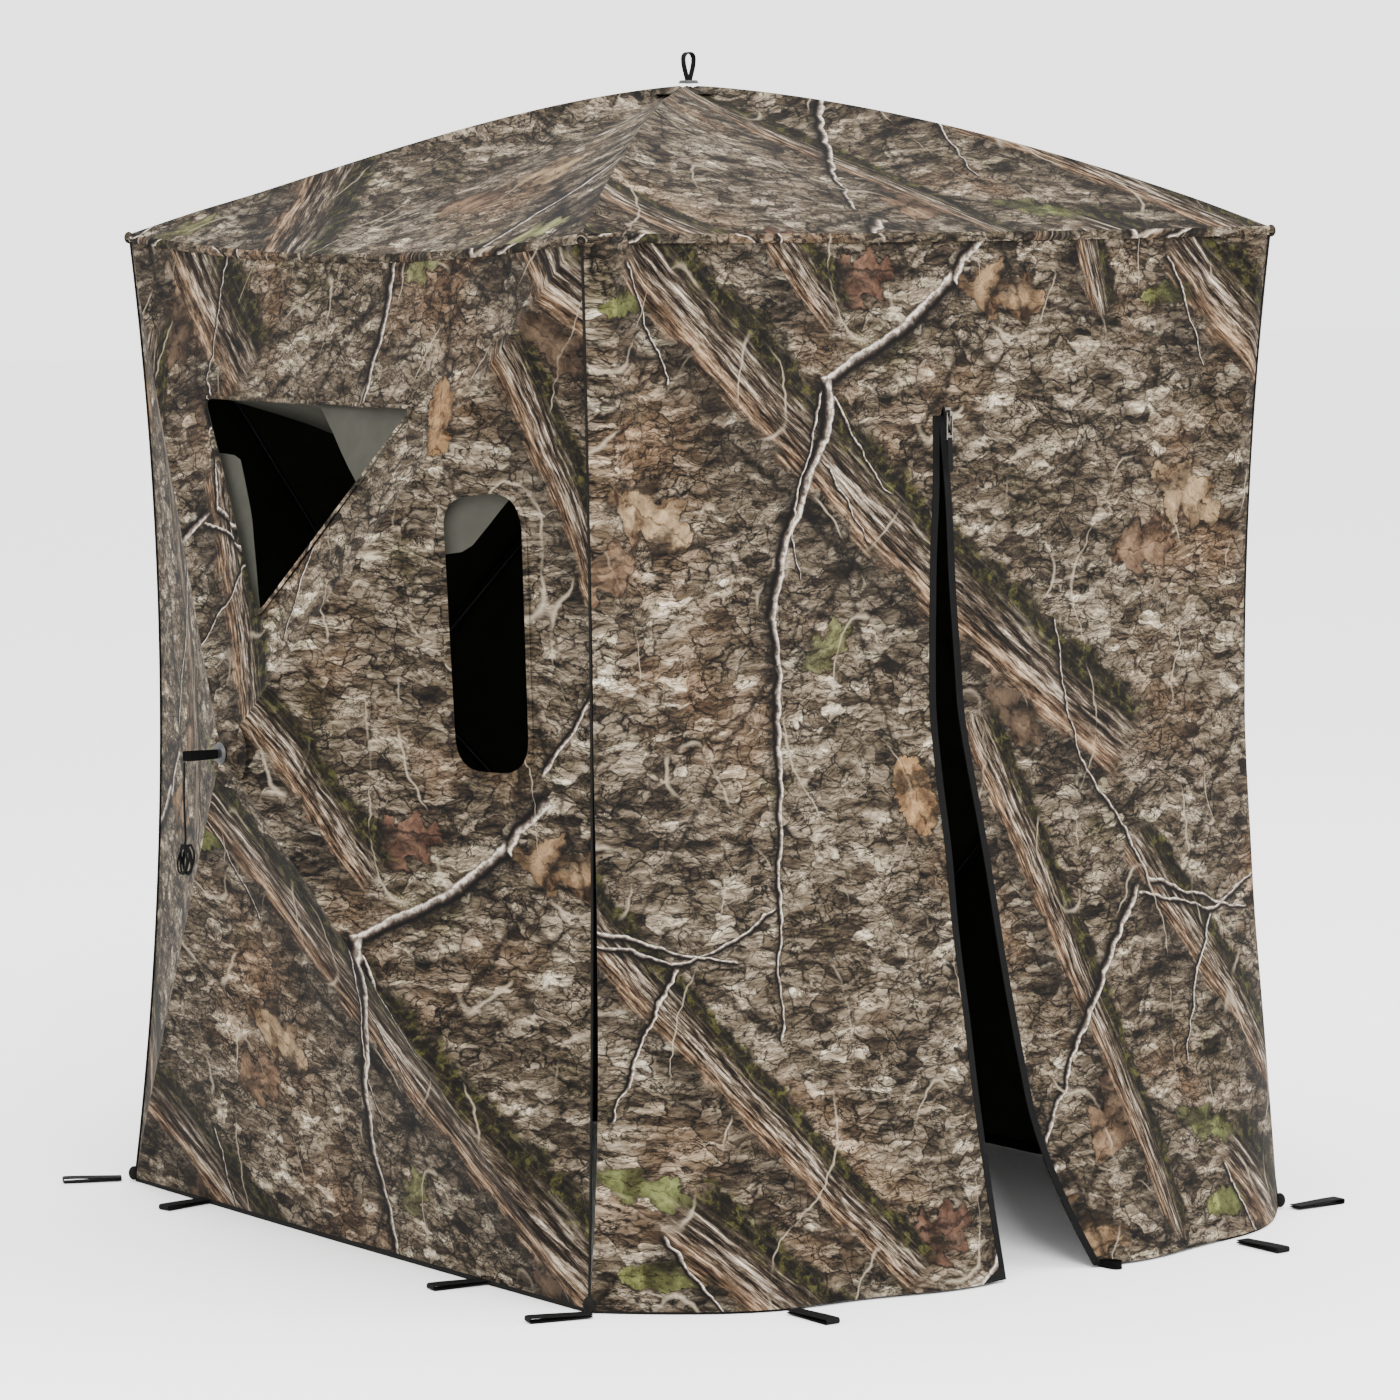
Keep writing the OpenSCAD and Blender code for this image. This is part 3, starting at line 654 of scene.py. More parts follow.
# how far a point of a hub wall follows the hub: 0 at the seams, 1 at the hub
def popShare(x, z):
    mid, top = tent["hubMid"], tent["eaveHigh"]
    rise = z - mid
    edge = (top if rise > 0 else 0) - mid
    out = halfAt(max(0, min(top, z)))
    for _ in range(3):
        zSeam = mid + rise * out / max(abs(x), 1e-6)
        out = halfAt(max(0, min(top, zSeam)))
    return max(0, min(1, 1 - max(abs(x) / out, rise / edge)))


def wallEdges():
    top, eave, hem, sag = tent["eaveHigh"], tent["eaveHalf"], tent["hemHalf"], tent["hubWallSag"]
    return [
        lambda s: Vector((mix(-eave, eave, s), -eave, top - sag * bow(s))),
        lambda s: Vector((mix(-hem, hem, s), -hem - 0.006 * bow(s), 0.003)),
        lambda s: Vector((halfAt(top * s), -halfAt(top * s), max(0.003, top * s))),
        lambda s: Vector((-halfAt(top * s), -halfAt(top * s), max(0.003, top * s))),
    ]


# four triangular quarters, from an edge (t 0) to the hub (t 1)
def wallSurface(n, s, t, turn):
    edge = wallEdges()[n]
    p = edge(s).lerp(Vector((0, -tent["hubFace"], tent["hubMid"])), t)
    slack = 0.010 * bow(s) * bow(t) * (1.2 if n == 1 else 0.8)
    ridge = 0.0035 * (bump(s, 0, 0.022) + bump(s, 1, 0.022)) * min(1, t * 8) * (1 - t) ** 0.5
    pulled = 0.0032 * math.sin(s * 31 + n * 2) * bow(s) * t ** 0.7 * (1 - t)
    rumpled = 0.006 * wrinkle(p.x, p.z, n + turn, 3.4) * bow(s) * bow(min(1, t * 1.1))
    p.y += slack - ridge + pulled + rumpled
    return p


# the wall's surface straight behind a point
def wallAt(x, z, turn):
    mid, top = tent["hubMid"], tent["eaveHigh"]
    t = popShare(x, z)
    zSeam = mid + (z - mid) / max(1e-6, 1 - t)
    xSeam = x / max(1e-6, 1 - t)
    if abs(abs(xSeam) - halfAt(max(0, min(top, zSeam)))) < 1e-3:
        return wallSurface(2 if x > 0 else 3, zSeam / top, t, turn)
    half = tent["eaveHalf"] if z > mid else tent["hemHalf"]
    return wallSurface(0 if z > mid else 1, (xSeam + half) / (2 * half), t, turn)


def hubWall(side, shift, cutters=()):
    turn = tent["wallTurns"][side]
    bm = bmesh.new()
    for n in range(4):
        faces = gridSheet(bm, 44, 34, lambda s, t, n=n: wallSurface(n, s, t * 0.985, turn),
                          lambda s, t, p: (p.x + shift[0], p.z + shift[1]))
        faceOut(bm, faces, lambda c: Vector((0, -1, 0)))
    bmesh.ops.remove_doubles(bm, verts=bm.verts, dist=0.0006)
    bmesh.ops.rotate(bm, verts=bm.verts, cent=(0, 0, 0), matrix=Matrix.Rotation(math.radians(turn), 3, "Z"))
    nodes = ("left_top", "left_bottom", "left_front_side", "left_back_side") if side == "left" else (side + "_wall",)
    wall = newPiece(side + "_cloth", bm, [camo, lining], None, nodes)
    thicken(wall, tent["clothThick"], cutters)
    followHub(wall, turn)
    return wall


def followHub(piece, turn):
    start, end = (turned((0, -out, 0), turn) for out in (tent["hemHalf"], tent["hubFace"]))
    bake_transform(piece)
    # the poles are straight; the loop below turns each point back but sets no share
    for v in piece.data.vertices:
        p = turned(v.co, -turn)


# windows in the left wall
windows = {
    "peakTop": 1.216, "peakLow": 0.910, "peakHalf": 0.287, "peakRound": 0.009, "peakLowRound": 0.026,
    "slotMid": (0.416, 0.922), "slotWide": 0.066, "slotHigh": 0.199, "slotRound": 0.052,
    "binding": 0.007,
}
topTilt = math.atan2(tent["hubFace"] - tent["eaveHalf"], tent["eaveHigh"] - tent["hubMid"])
seamEdge = -joints["slot_frame_tilt"]["pos_m"][0]
sideTilt = math.atan2(tent["hubFace"] - seamEdge, seamEdge)


def onTopSlope(x, z, out):
    p = Matrix.Rotation(-topTilt, 4, "X") @ Vector((x, -out, z - tent["eaveHigh"]))
    return turned(p + Vector((0, -tent["eaveHalf"], tent["eaveHigh"])), -90)


def onSideSlope(x, z, out):
    p = Matrix.Rotation(sideTilt, 4, "Z") @ Vector((x - seamEdge, -out, 0))
    return turned(p + Vector((seamEdge, -seamEdge, z)), -90)


# corners are (point, radius)
def roundedOutline(corners, steps=9):
    line = []
    for k, (point, radius) in enumerate(corners):
        p = Vector(point)
        before = (Vector(corners[k - 1][0]) - p).normalized()
        after = (Vector(corners[(k + 1) % len(corners)][0]) - p).normalized()
        half = math.acos(max(-1, min(1, before.dot(after)))) / 2
        reach = radius / math.tan(half)
        a, b = p + before * reach, p + after * reach
        for i in range(steps):
            u = i / (steps - 1)
            line.append((a.lerp(p, u)).lerp(p.lerp(b, u), u))
    return line


def peakOutline(grow=0.0):
    w = windows
    mid = Vector((0, (w["peakTop"] * 2 + w["peakLow"]) / 3))
    corners = [((-w["peakHalf"], w["peakTop"]), w["peakRound"]), ((0, w["peakLow"] - 0.012), w["peakLowRound"]),
               ((w["peakHalf"], w["peakTop"]), w["peakRound"])]
    line = roundedOutline(corners)
    return [p + (p - mid).normalized() * grow for p in line]


def slotOutline(grow=0.0):
    w = windows
    cx, cz = w["slotMid"]
    corners = []
    for sx, sz, lift in ((-1, 1, -0.016), (-1, -1, 0), (1, -1, 0), (1, 1, 0.0)):
        corners.append(((cx + sx * w["slotWide"], cz + sz * w["slotHigh"] + lift), w["slotRound"]))
    line = roundedOutline(corners)
    away = [p - Vector((cx, cz)) for p in line]
    return [p + Vector((d.x * 2.2, d.y * 0.8)).normalized() * grow for p, d in zip(line, away)]


def windowCutter(name, outline, place, deep):
    bm = bmesh.new()
    low = [bm.verts.new(place(p.x, p.y, deep)) for p in outline]
    face = bm.faces.new(low)
    made = bmesh.ops.extrude_face_region(bm, geom=[face])
    moved = [g for g in made["geom"] if isinstance(g, bmesh.types.BMVert)]
    push = place(outline[0].x, outline[0].y, -deep) - place(outline[0].x, outline[0].y, deep)
    bmesh.ops.translate(bm, verts=moved, vec=push)
    bmesh.ops.recalc_face_normals(bm, faces=bm.faces)
    mesh = bpy.data.meshes.new(name)
    bm.to_mesh(mesh)
    bm.free()
    mesh.materials.append(lining)
    cutter = bpy.data.objects.new(name, mesh)
    bpy.context.scene.collection.objects.link(cutter)
    return cutter


# a strip of the print that lies on the wall round the opening
def windowBinding(name, outline, place, body, node, shift):
    bm = bmesh.new()
    rows = []
    for grow, lift in ((-0.0022, -0.0006), (-0.0008, 0.0013), (0.0035, 0.0016), (windows["binding"], 0.0010)):
        row = []
        for p in outline(grow):
            spot = turned(place(p.x, p.y, 0), 90)
            on = wallAt(spot.x, spot.z, -90)
            row.append(bm.verts.new(turned((spot.x, on.y - lift, spot.z), -90)))
        rows.append(row)
    for low, high in zip(rows, rows[1:]):
        for k in range(len(low)):
            bm.faces.new((low[k - 1], low[k], high[k], high[k - 1]))
    paintCloth(bm, bm.faces, lambda p: (-p.y + shift[0], p.z + shift[1]))
    faceOut(bm, bm.faces[:], lambda c: Vector((-1, 0, 0)))
    closedPiece(name, bm, [camo], body, (node,), -0.0014)


# both covers swing about an edge just inside the wall
covers = {
    "peak": {"outline": peakOutline, "place": onTopSlope, "hinge": (0, 1.225), "axis": (0, -1, 0), "swing": 72,
             "curl": 12, "flat": (0.58, 0.32), "share": 0.62},
    "slot": {"outline": slotOutline, "place": onSideSlope, "hinge": (0.496, 0.928), "axis": (0, 0, 1), "swing": -100,
             "curl": 0, "flat": (0.15, 0.40), "share": 0.98},
}


def windowCover(which):
    cover = covers[which]
    behind = -0.007
    pivot = cover["place"](*cover["hinge"], behind)
    bm = bmesh.new()
    face = bm.faces.new([bm.verts.new(cover["place"](p.x, p.y, behind)) for p in cover["outline"](0.005)])
    bmesh.ops.triangulate(bm, faces=[face])
    bmesh.ops.subdivide_edges(bm, edges=bm.edges[:], cuts=2, use_grid_fill=True)
    for k in range(-7, 8):
        everything = bm.verts[:] + bm.edges[:] + bm.faces[:]
        bmesh.ops.bisect_plane(bm, geom=everything, plane_co=(0, k * 0.037, 0), plane_no=(0, 1, 0))
    for v in bm.verts:
        lifted = cover["curl"] * max(0, min(1, (v.co.y + 0.10) / 0.30))
        v.co = pivot + Matrix.Rotation(math.radians(cover["swing"] + lifted), 4, cover["axis"]) @ (v.co - pivot)
        v.co.z += 0.002 * wrinkle(v.co.x + v.co.y, v.co.z, 3, 9)
    paintCloth(bm, bm.faces, lambda p: (p.y + p.x, p.z))
    piece = closedPiece(which + "_cover", bm, [coverCloth], which + "_cover",
                        (which + "_window_cover",), tent["clothThick"])


cutters = [windowCutter("peak_cut", peakOutline(), onTopSlope, 0.05),
           windowCutter("slot_cut", slotOutline(), onSideSlope, 0.09)]
printShift = (-0.434, 0.776)    # where the print starts on the left wall
hubWall("left", printShift, cutters)
hubWall("back", (0.31, 0.42))
hubWall("right", (0.62, 0.18))
windowBinding("peak_binding", peakOutline, onTopSlope, "peak_frame", "peak_window_binding", printShift)
windowBinding("slot_binding", slotOutline, onSideSlope, "slot_frame", "slot_window_binding", printShift)
windowCover("peak")
windowCover("slot")


def cornerFlap(name, corners, place, deep, body):
    bm = bmesh.new()
    face = bm.faces.new([bm.verts.new(place(x, z, -deep)) for x, z in corners])
    bmesh.ops.triangulate(bm, faces=[face])
    bmesh.ops.subdivide_edges(bm, edges=bm.edges[:], cuts=3, use_grid_fill=True)
    for v in bm.verts:
        v.co.x += 0.002 * wrinkle(v.co.y, v.co.z, 4, 12)
    paintCloth(bm, bm.faces, lambda p: (p.y, p.z))
    faceOut(bm, bm.faces[:], lambda c: Vector((-1, 0, 0)))
    closedPiece(name, bm, [coverCloth], body, wall=0.001)


# grey cloth sewn inside the windows' corners, in slope coordinates
slotFold = [(0.335, 1.135), (0.470, 1.135), (0.456, 1.107), (0.420, 1.070), (0.389, 1.039), (0.370, 1.029),
            (0.335, 1.024)]
peakFold = [(-0.252, 1.137), (-0.213, 1.1375), (-0.185, 1.136), (-0.165, 1.130), (-0.155, 1.118), (-0.094, 1.0435),
            (-0.010, 0.905), (-0.022, 0.893), (-0.060, 0.940)]
frontFold = [(0.000, 1.232), (0.300, 1.232), (0.292, 1.205), (0.212, 1.085), (0.180, 1.098), (0.120, 1.140),
             (0.052, 1.192)]
cornerFlap("slot_corner_cloth", slotFold, onSideSlope, 0.007, "slot_frame")
cornerFlap("peak_corner_cloth", peakFold, onTopSlope, 0.017, "peak_frame")
cornerFlap("peak_front_cloth", frontFold, onTopSlope, 0.017, "peak_frame")
print("hub walls and windows built")

# roof
roofing = {"bow": 0.031, "sag": {0: 0.004, 90: 0.030, 180: 0.030, -90: 0.030}}    # eave sag by the gore's turn


def roofPoint(s, t, turn):
    sag = roofing["sag"][turn]
    eave, top = tent["eaveHalf"] + 0.002, tent["eaveHigh"] + 0.002
    edge = Vector((mix(-eave, eave, s), -eave, top - sag * bow(s)))
    p = edge.lerp(Vector((0, 0, tent["roofTop"] + 0.001)), t)
    ridge = abs(2 * s - 1) ** 1.5
    # the ridge at the back left corner is slacker than the others
    x, y, _ = turned(p, turn).xyz
    slack = max(0, (y - x) / (abs(x) + abs(y)))
    p.z += roofing["bow"] * bow(t) * mix(0.85 + 0.35 * t, max(0.35, 0.1 + 1.12 * t), slack) * ridge
    p.z += 0.003 * (bump(s, 0, 0.02) + bump(s, 1, 0.02)) * min(1, t * 8) * (1 - t) ** 0.5
    p.z += 0.007 * wrinkle(p.x, p.y, sag * 100, 4.0) * bow(s) * bow(t)
    p.z += 0.0035 * math.sin(s * 40) * bow(s) * t * (1 - t)
    return p


def buildRoof():
    bm = bmesh.new()
    starts = {0: (0.16, 0.10), 90: (0.5, 0.3), 180: (0.9, 0.7), -90: (0.30, 0.86)}
    for turn in roofing["sag"]:
        du, dv = starts[turn]
        faces = gridSheet(bm, 44, 36, lambda s, t: turned(roofPoint(s, t * 0.985, turn), turn),
                          lambda s, t, p: (turned(p, -turn).x + du, t * 0.50 + dv))
        faceOut(bm, faces, lambda c: Vector((0, 0, 1)))
    bmesh.ops.remove_doubles(bm, verts=bm.verts, dist=0.0006)
    gores = ("roof_front", "roof_right", "roof_back", "roof_left")
    roof = newPiece("roof_cloth", bm, [camo, lining], None, gores)
    thicken(roof, tent["clothThick"])
    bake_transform(roof)


buildRoof()
print("roof built")

# door wall
door = {
    "zipTop": 1.220, "flapFoot": 0.390, "bell": 0.180, "bellHigh": 0.80,
    "tape": 0.012, "foldSoft": 0.055,
}


# out to a crease near the seam, then back into the wall
def cornerFold(inset):
    crease, trough, flat, dip = 0.024, 0.102, 0.152, -0.35
    if inset < crease:
        return inset / crease
    if inset < trough:
        return mix(1, dip, (inset - crease) / (trough - crease))
    return dip * max(0, 1 - (inset - trough) / (flat - trough)) ** 2


def doorY(x, z):
    u = max(0, min(1, z / tent["eaveHigh"]))
    hem, eave = tent["hemHalf"], tent["eaveHalf"]
    y = -mix(hem, eave, u) + tent["seamPull"] * bow(u) * (abs(x) / ((hem + eave) / 2)) ** 2
    if z < door["bellHigh"]:
        y -= door["bell"] * (1 - z / door["bellHigh"]) ** 1.25 * (1 - min(1, abs(x) / hem) ** 4)
    # gathers beside the top corners, ripples at the hem, drape along the zip
    near = max(0, (z - 0.75) / 0.7)
    for side in (-1, 1):
        inset = halfAt(z) - side * x
        y -= (0.030 if side < 0 else 0.016) * cornerFold(inset) * near ** 0.8 * (1 - bump(z, eave, 0.03))
    low = max(0, 1 - z / 0.6)
    y += 0.012 * math.sin(x * 19 + 0.8) * low ** 1.3 * (1 - (abs(x) / hem) ** 2)
    fade = bow(min(1, u * 1.02)) * (1 - (abs(x) / hem) ** 6)
    y += 0.009 * wrinkle(x, z, 11, 2.6) * fade
    y += 0.004 * wrinkle(x * 2.4 + z, z * 0.7, 5, 3.0) * fade
    return y


def gapLeft(z):
    u = max(0, 1 - z / door["zipTop"])
    return -0.012 - 0.032 * u ** 1.4


def gapRight(z):
    u = max(0, 1 - z / door["zipTop"])
    return -0.005 + 0.078 * u ** 0.8 + 0.055 * max(0, 1 - z / 0.24) ** 1.6


def foldX(z):
    return door["flapFoot"] * (1 - z / door["zipTop"])


# a part of the door between two upright edges, step in front of the wall
def doorPiece(name, across, along, low, high, left, right, nodes, thickness=None, step=0.0):
    bm = bmesh.new()

    def place(s, t):
        z = mix(low, high, t)
        x = mix(left(z), right(z), s)
        return (x, doorY(x, z) + step, z)

    faces = gridSheet(bm, across, along, place, lambda s, t, p: (p.x, p.z))
    faceOut(bm, faces, lambda c: Vector((0, -1, 0)))
    piece = newPiece(name, bm, [camo, lining], None, nodes)
    thicken(piece, thickness or tent["clothThick"])
    return piece


# start and end points across a flap's fold line; nothing blends between them
def foldLine(side):
    foot = Vector((side * door["flapFoot"], 0, 0))
    top = Vector((0, 0, door["zipTop"]))
    line = (top - foot).normalized()
    inward = Vector((-side, 0, 0))
    inward = (inward - line * inward.dot(line)).normalized()
    start = foot.copy()
    start.y = doorY(foot.x, 0)
    return start, start + inward * door["foldSoft"]


def buildDoor():
    zipTop, eave, foot = door["zipTop"], tent["eaveHigh"], 0.004
    bm = bmesh.new()
    # left of the flaps, right of them, and above the zip
    parts = [
        (64, 60, foot, zipTop, lambda z: -halfAt(z), lambda z: -foldX(z)),
        (64, 60, foot, zipTop, foldX, halfAt),
        (128, 20, zipTop, eave, lambda z: -halfAt(z), halfAt),
    ]
    for across, along, low, high, left, right in parts:
        def place(s, t):
            z = mix(low, high, t)
            x = mix(left(z), right(z), s)
            return (x, doorY(x, z), z - (tent["doorSag"] * bow(s) if z > eave - 1e-4 else 0))

        faces = gridSheet(bm, across, along, place, lambda s, t, p: (p.x, p.z))
        faceOut(bm, faces, lambda c: Vector((0, -1, 0)))
    bmesh.ops.remove_doubles(bm, verts=bm.verts, dist=0.0006)
    wall = newPiece("door_cloth", bm, [camo, lining], "shell", ("door_wall",))
    thicken(wall, tent["clothThick"])
    for label, side, edge in (("left", -1, gapLeft), ("right", 1, gapRight)):
        start, end = foldLine(side)
        body = "flap_" + label

        def ends(z, side=side, edge=edge):
            return side * foldX(z), side * max(side * edge(z), 0.001)

        flap = doorPiece(body + "_cloth", 22, 64, foot, zipTop - 0.04, lambda z: min(ends(z)), lambda z: max(ends(z)),
                         (body,))
        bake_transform(flap)
        tape = doorPiece("zip_tape_cloth_" + label, 4, 90, foot, zipTop - 0.015,
                         lambda z: edge(z) - door["tape"] * 0.6, lambda z: edge(z) + door["tape"] * 0.3,
                         ("zip_tape_" + label,), 0.0022, -0.0008)
        tape.data.materials.clear()
        for _ in range(2):
            tape.data.materials.append(zipTeeth)
        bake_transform(tape)


buildDoor()
print("door wall built")

# piping, hem, pockets, eave seam


def tubeMesh(points, radius, sides=10):
    data = bpy.data.curves.new("tube", "CURVE")
    data.dimensions = "3D"
    data.bevel_depth = radius
    data.bevel_resolution = max(1, sides // 4 - 1)
    data.use_fill_caps = True
    spline = data.splines.new("POLY")
    spline.points.add(len(points) - 1)
    for target, p in zip(spline.points, points):
        target.co = (*p, 1)
    holder = bpy.data.objects.new("tube", data)
    bpy.context.scene.collection.objects.link(holder)
    bpy.context.view_layer.update()
    mesh = bpy.data.meshes.new_from_object(holder)
    bpy.data.objects.remove(holder)
    return mesh


def addTube(bm, points, radius, sides=10):
    mesh = tubeMesh(points, radius, sides)
    before = set(bm.faces)
    bm.from_mesh(mesh)
    bpy.data.meshes.remove(mesh)
    paintCloth(bm, [f for f in bm.faces if f not in before], lambda p: (p.x + p.y, p.z))


def buildPiping():
    bm = bmesh.new()
    for k in range(4):
        line = []
        for i in range(60):
            z = mix(0.006, tent["eaveHigh"] - 0.004, i / 59)
            h = halfAt(z) + 0.0010
            line.append(turned((h, h, z), 90 * k))
        addTube(bm, line, 0.0019)
    closedPiece("corner_piping_cord", bm, [bindingTape], "shell", ("corner_piping",))


# a flat strap along a path
def strapSheet(bm, path, across, width, thick):
    last = len(path) - 1
    lengths = [0.0]
    for a, b in zip(path, path[1:]):
        lengths.append(lengths[-1] + (b - a).length)
    faces = gridSheet(bm, last, 3, lambda s, t: path[round(s * last)] + across * (t - 0.5) * width,
                      lambda s, t, p: (lengths[round(s * last)], t * width))
    bmesh.ops.solidify(bm, geom=faces, thickness=thick)


# a doubled strap: out, round its end, and back
def loopPath(origin, out, up, length, r, steps=9):
    leg = [(mix(0.0, length - r, i / 6), mix(0.0015, r, math.sin(i / 12 * math.pi) ** 1.5)) for i in range(7)]
    turns = [math.pi / 2 - math.pi * i / steps for i in range(1, steps)]
    end = [(length - r + r * math.cos(a), r * math.sin(a)) for a in turns]
    line = leg + end + [(a, -b) for a, b in reversed(leg)]
    return [Vector(origin) + Vector(out) * a + Vector(up) * b for a, b in line]


def stakeLoops():
    hem, foot, reach = tent["hemHalf"], door["flapFoot"], -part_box("stake_loops")[0].y
    length, width, radius = 0.086, 0.022, 0.0034
    spots = [((-hem - 0.004, 0.400), 190), ((-hem - 0.004, -0.370), 173), ((hem + 0.004, 0.385), -8),
             ((hem + 0.004, -0.385), 8), ((0.385, hem + 0.004), 80), ((-0.385, hem + 0.004), 98),
             ((-foot - 0.014, length - reach), -90), ((foot + 0.014, length - reach), -90),
             ((-hem - 0.020, hem + 0.022), 155), ((-hem - 0.020, -hem - 0.022), 165),
             ((hem + 0.020, -hem - 0.022), 0), ((hem + 0.020, hem + 0.022), 25)]
    bm = bmesh.new()
    for (x, y), turn in spots:
        out = turned((1, 0, 0), turn)
        across = turned((0, 1, 0), turn)
        origin = Vector((x, y, 0.0054)) - out * 0.006
        strapSheet(bm, loopPath(origin, out, (0, 0, 1), length + 0.005, radius), across, width, 0.0016)
    closedPiece("stake_loop_webbing", bm, [webbing], "shell", ("stake_loops",))


def hemBand():
    bm = bmesh.new()
    hem = tent["hemHalf"]
    for turn in tent["wallTurns"].values():
        def along(s, t):
            return turned((mix(-hem, hem, s), -hem - 0.0062 * bow(s) - 0.0009, 0.0005 + t * 0.016), turn)

        faces = gridSheet(bm, 40, 2, along, lambda s, t, p: (s * 1.25, t * 0.016))
        faceOut(bm, faces, lambda c: Vector((c.x, c.y, 0)))
    for side in (-1, 1):
        def place(s, t):
            x = side * mix(foldX(0) + 0.004, hem - 0.002, s)
            return (x, doorY(x, 0.02) - 0.0009, 0.0005 + t * 0.014)

        faces = gridSheet(bm, 24, 2, place, lambda s, t, p: (s * 0.24, t * 0.014))
        faceOut(bm, faces, lambda c: Vector((0, -1, 0)))
    closedPiece("hem_binding", bm, [bindingTape], "shell", ("hem_tape",), 0.0024)


def cornerPockets():
    bm = bmesh.new()
    # black pockets at the ground, printed ones at the eave
    ends = [(0, 0.013, tent["hemHalf"], 0.0085), (1, tent["eaveHigh"] - 0.003, tent["eaveHalf"], 0.0070)]
    for k in range(4):
        for slot, z, half, radius in ends:
            at = turned((half + 0.002, half + 0.002, z), 90 * k)
            made = bmesh.ops.create_icosphere(bm, subdivisions=3, radius=radius)
            bmesh.ops.scale(bm, verts=made["verts"], vec=(1.0, 1.0, 1.3))
            bmesh.ops.translate(bm, verts=made["verts"], vec=at)
            for f in {f for v in made["verts"] for f in v.link_faces}:
                f.material_index = slot
    paintCloth(bm, bm.faces, lambda p: (p.x + p.y, p.z))
    closedPiece("corner_pocket_cloth", bm, [bindingTape, camo], "shell", ("corner_pockets",))


def eaveSeam():
    bm = bmesh.new()
    for turn, sag in roofing["sag"].items():
        def place(s, t):
            eave, top = tent["eaveHalf"], tent["eaveHigh"]
            out = -eave - 0.0035 - 0.003 * bow(t)
            return turned((mix(-eave - 0.003, eave + 0.003, s), out, top + 0.004 - sag * bow(s) - t * 0.013), turn)

        faces = gridSheet(bm, 44, 3, place, lambda s, t, p: (s * 1.22 + 0.31, t * 0.013 + 0.5))
        faceOut(bm, faces, lambda c: Vector((c.x, c.y, 0)))
    closedPiece("eave_seam", bm, [camo], "shell", wall=0.0012)


for build in (buildPiping, stakeLoops, hemBand, cornerPockets, eaveSeam):
    build()
print("edges built")

# hubs: patches, pull loops


def hubPatch(name, at, out, radius, slope, body, node):
    bm = bmesh.new()
    bmesh.ops.create_circle(bm, cap_ends=True, segments=48, radius=radius)
    for step in (0.004, 0.004, 0.010, 0.012, 0.010):
        face = max(bm.faces, key=lambda f: len(f.verts))
        bmesh.ops.inset_region(bm, faces=[face], thickness=step, use_even_offset=True)
    paintCloth(bm, bm.faces, lambda p: (p.x + 0.3, p.y + 0.4))
    for v in bm.verts:
        r = Vector((v.co.x, v.co.y)).length
        v.co.z = -slope * r + 0.0025 * bump(r, 0.018, 0.008)
    bmesh.ops.solidify(bm, geom=bm.faces[:], thickness=0.0014)
    made = bmesh.ops.create_cone(bm, cap_ends=True, segments=32, radius1=0.0155, radius2=0.013, depth=0.0045)
    bmesh.ops.translate(bm, verts=made["verts"], vec=(0, 0, 0.003))
    for v in made["verts"]:
        for f in v.link_faces:
            f.material_index = 1
    basis = Vector(out).to_track_quat("Z", "Y").to_matrix().to_4x4()
    bmesh.ops.transform(bm, verts=bm.verts, matrix=Matrix.Translation(at) @ basis)
    closedPiece(name, bm, [camo, hubPlastic], body, (node,))


def pullLoop(name, at, out, side, up, length, width, body, node):
    bm = bmesh.new()
    strapSheet(bm, loopPath(at, out, side, length, 0.0095), Vector(up), width, 0.0018)
    closedPiece(name, bm, [webbing], body, (node,))


for side, turn in tent["wallTurns"].items():
    out = turned((0, -1, 0), turn)
    along = turned((1, 0, 0), turn)
    face = out * tent["hubFace"] + Vector((0, 0, tent["hubMid"]))
    unit = side + "_hub_unit"
    hubPatch(side + "_patch", face + out * 0.0012, out, 0.050, 0.24, unit, side + "_cap")
    low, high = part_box(side + "_loop")
    reach = max(abs(low.x), abs(high.x)) if side != "back" else high.y
    root = out * (reach - 0.061) + Vector((0, 0, tent["hubMid"]))
    pullLoop(side + "_pull", root, out, along, (0, 0, 1), 0.0605, 0.011, unit, side + "_loop")
hubPatch("roof_patch", Vector((0, 0, tent["roofTop"] + 0.003)), (0, 0, 1), 0.050, 0.30, "roof_hub_unit", "roof_cap")
pullLoop("roof_pull", (0, 0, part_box("roof_loop")[0].z), (0, 0, 1), (1, 0, 0), (0, 1, 0), 0.0455, 0.012,
         "roof_hub_unit", "roof_loop")

for name, obj in frame["nodes"].items():
    if obj.hide_render:
        continue
    for part, material in (("pole_", poleGloss), ("_hub", hubPlastic), ("_pins", pinSteel), ("zip", zipMetal)):
        if part in name:
            obj.data.materials.clear()
            obj.data.materials.append(material)
            break
print("hubs built")

# guy cord
guy = {"thick": 0.003, "turns": 5, "oval": (0.0135, 0.0215)}


def smoothLine(points, steps=5):
    pts = [Vector(p) for p in points]
    pts = [pts[0] * 2 - pts[1]] + pts + [pts[-1] * 2 - pts[-2]]
    line = []
    for k in range(1, len(pts) - 2):
        p0, p1, p2, p3 = pts[k - 1:k + 3]
        for i in range(steps):
            t = i / steps
            square, cube = 2 * p0 - 5 * p1 + 4 * p2 - p3, 3 * p1 - p0 - 3 * p2 + p3
            line.append(0.5 * (2 * p1 + (p2 - p0) * t + square * t ** 2 + cube * t ** 3))
    return line + [pts[-2]]


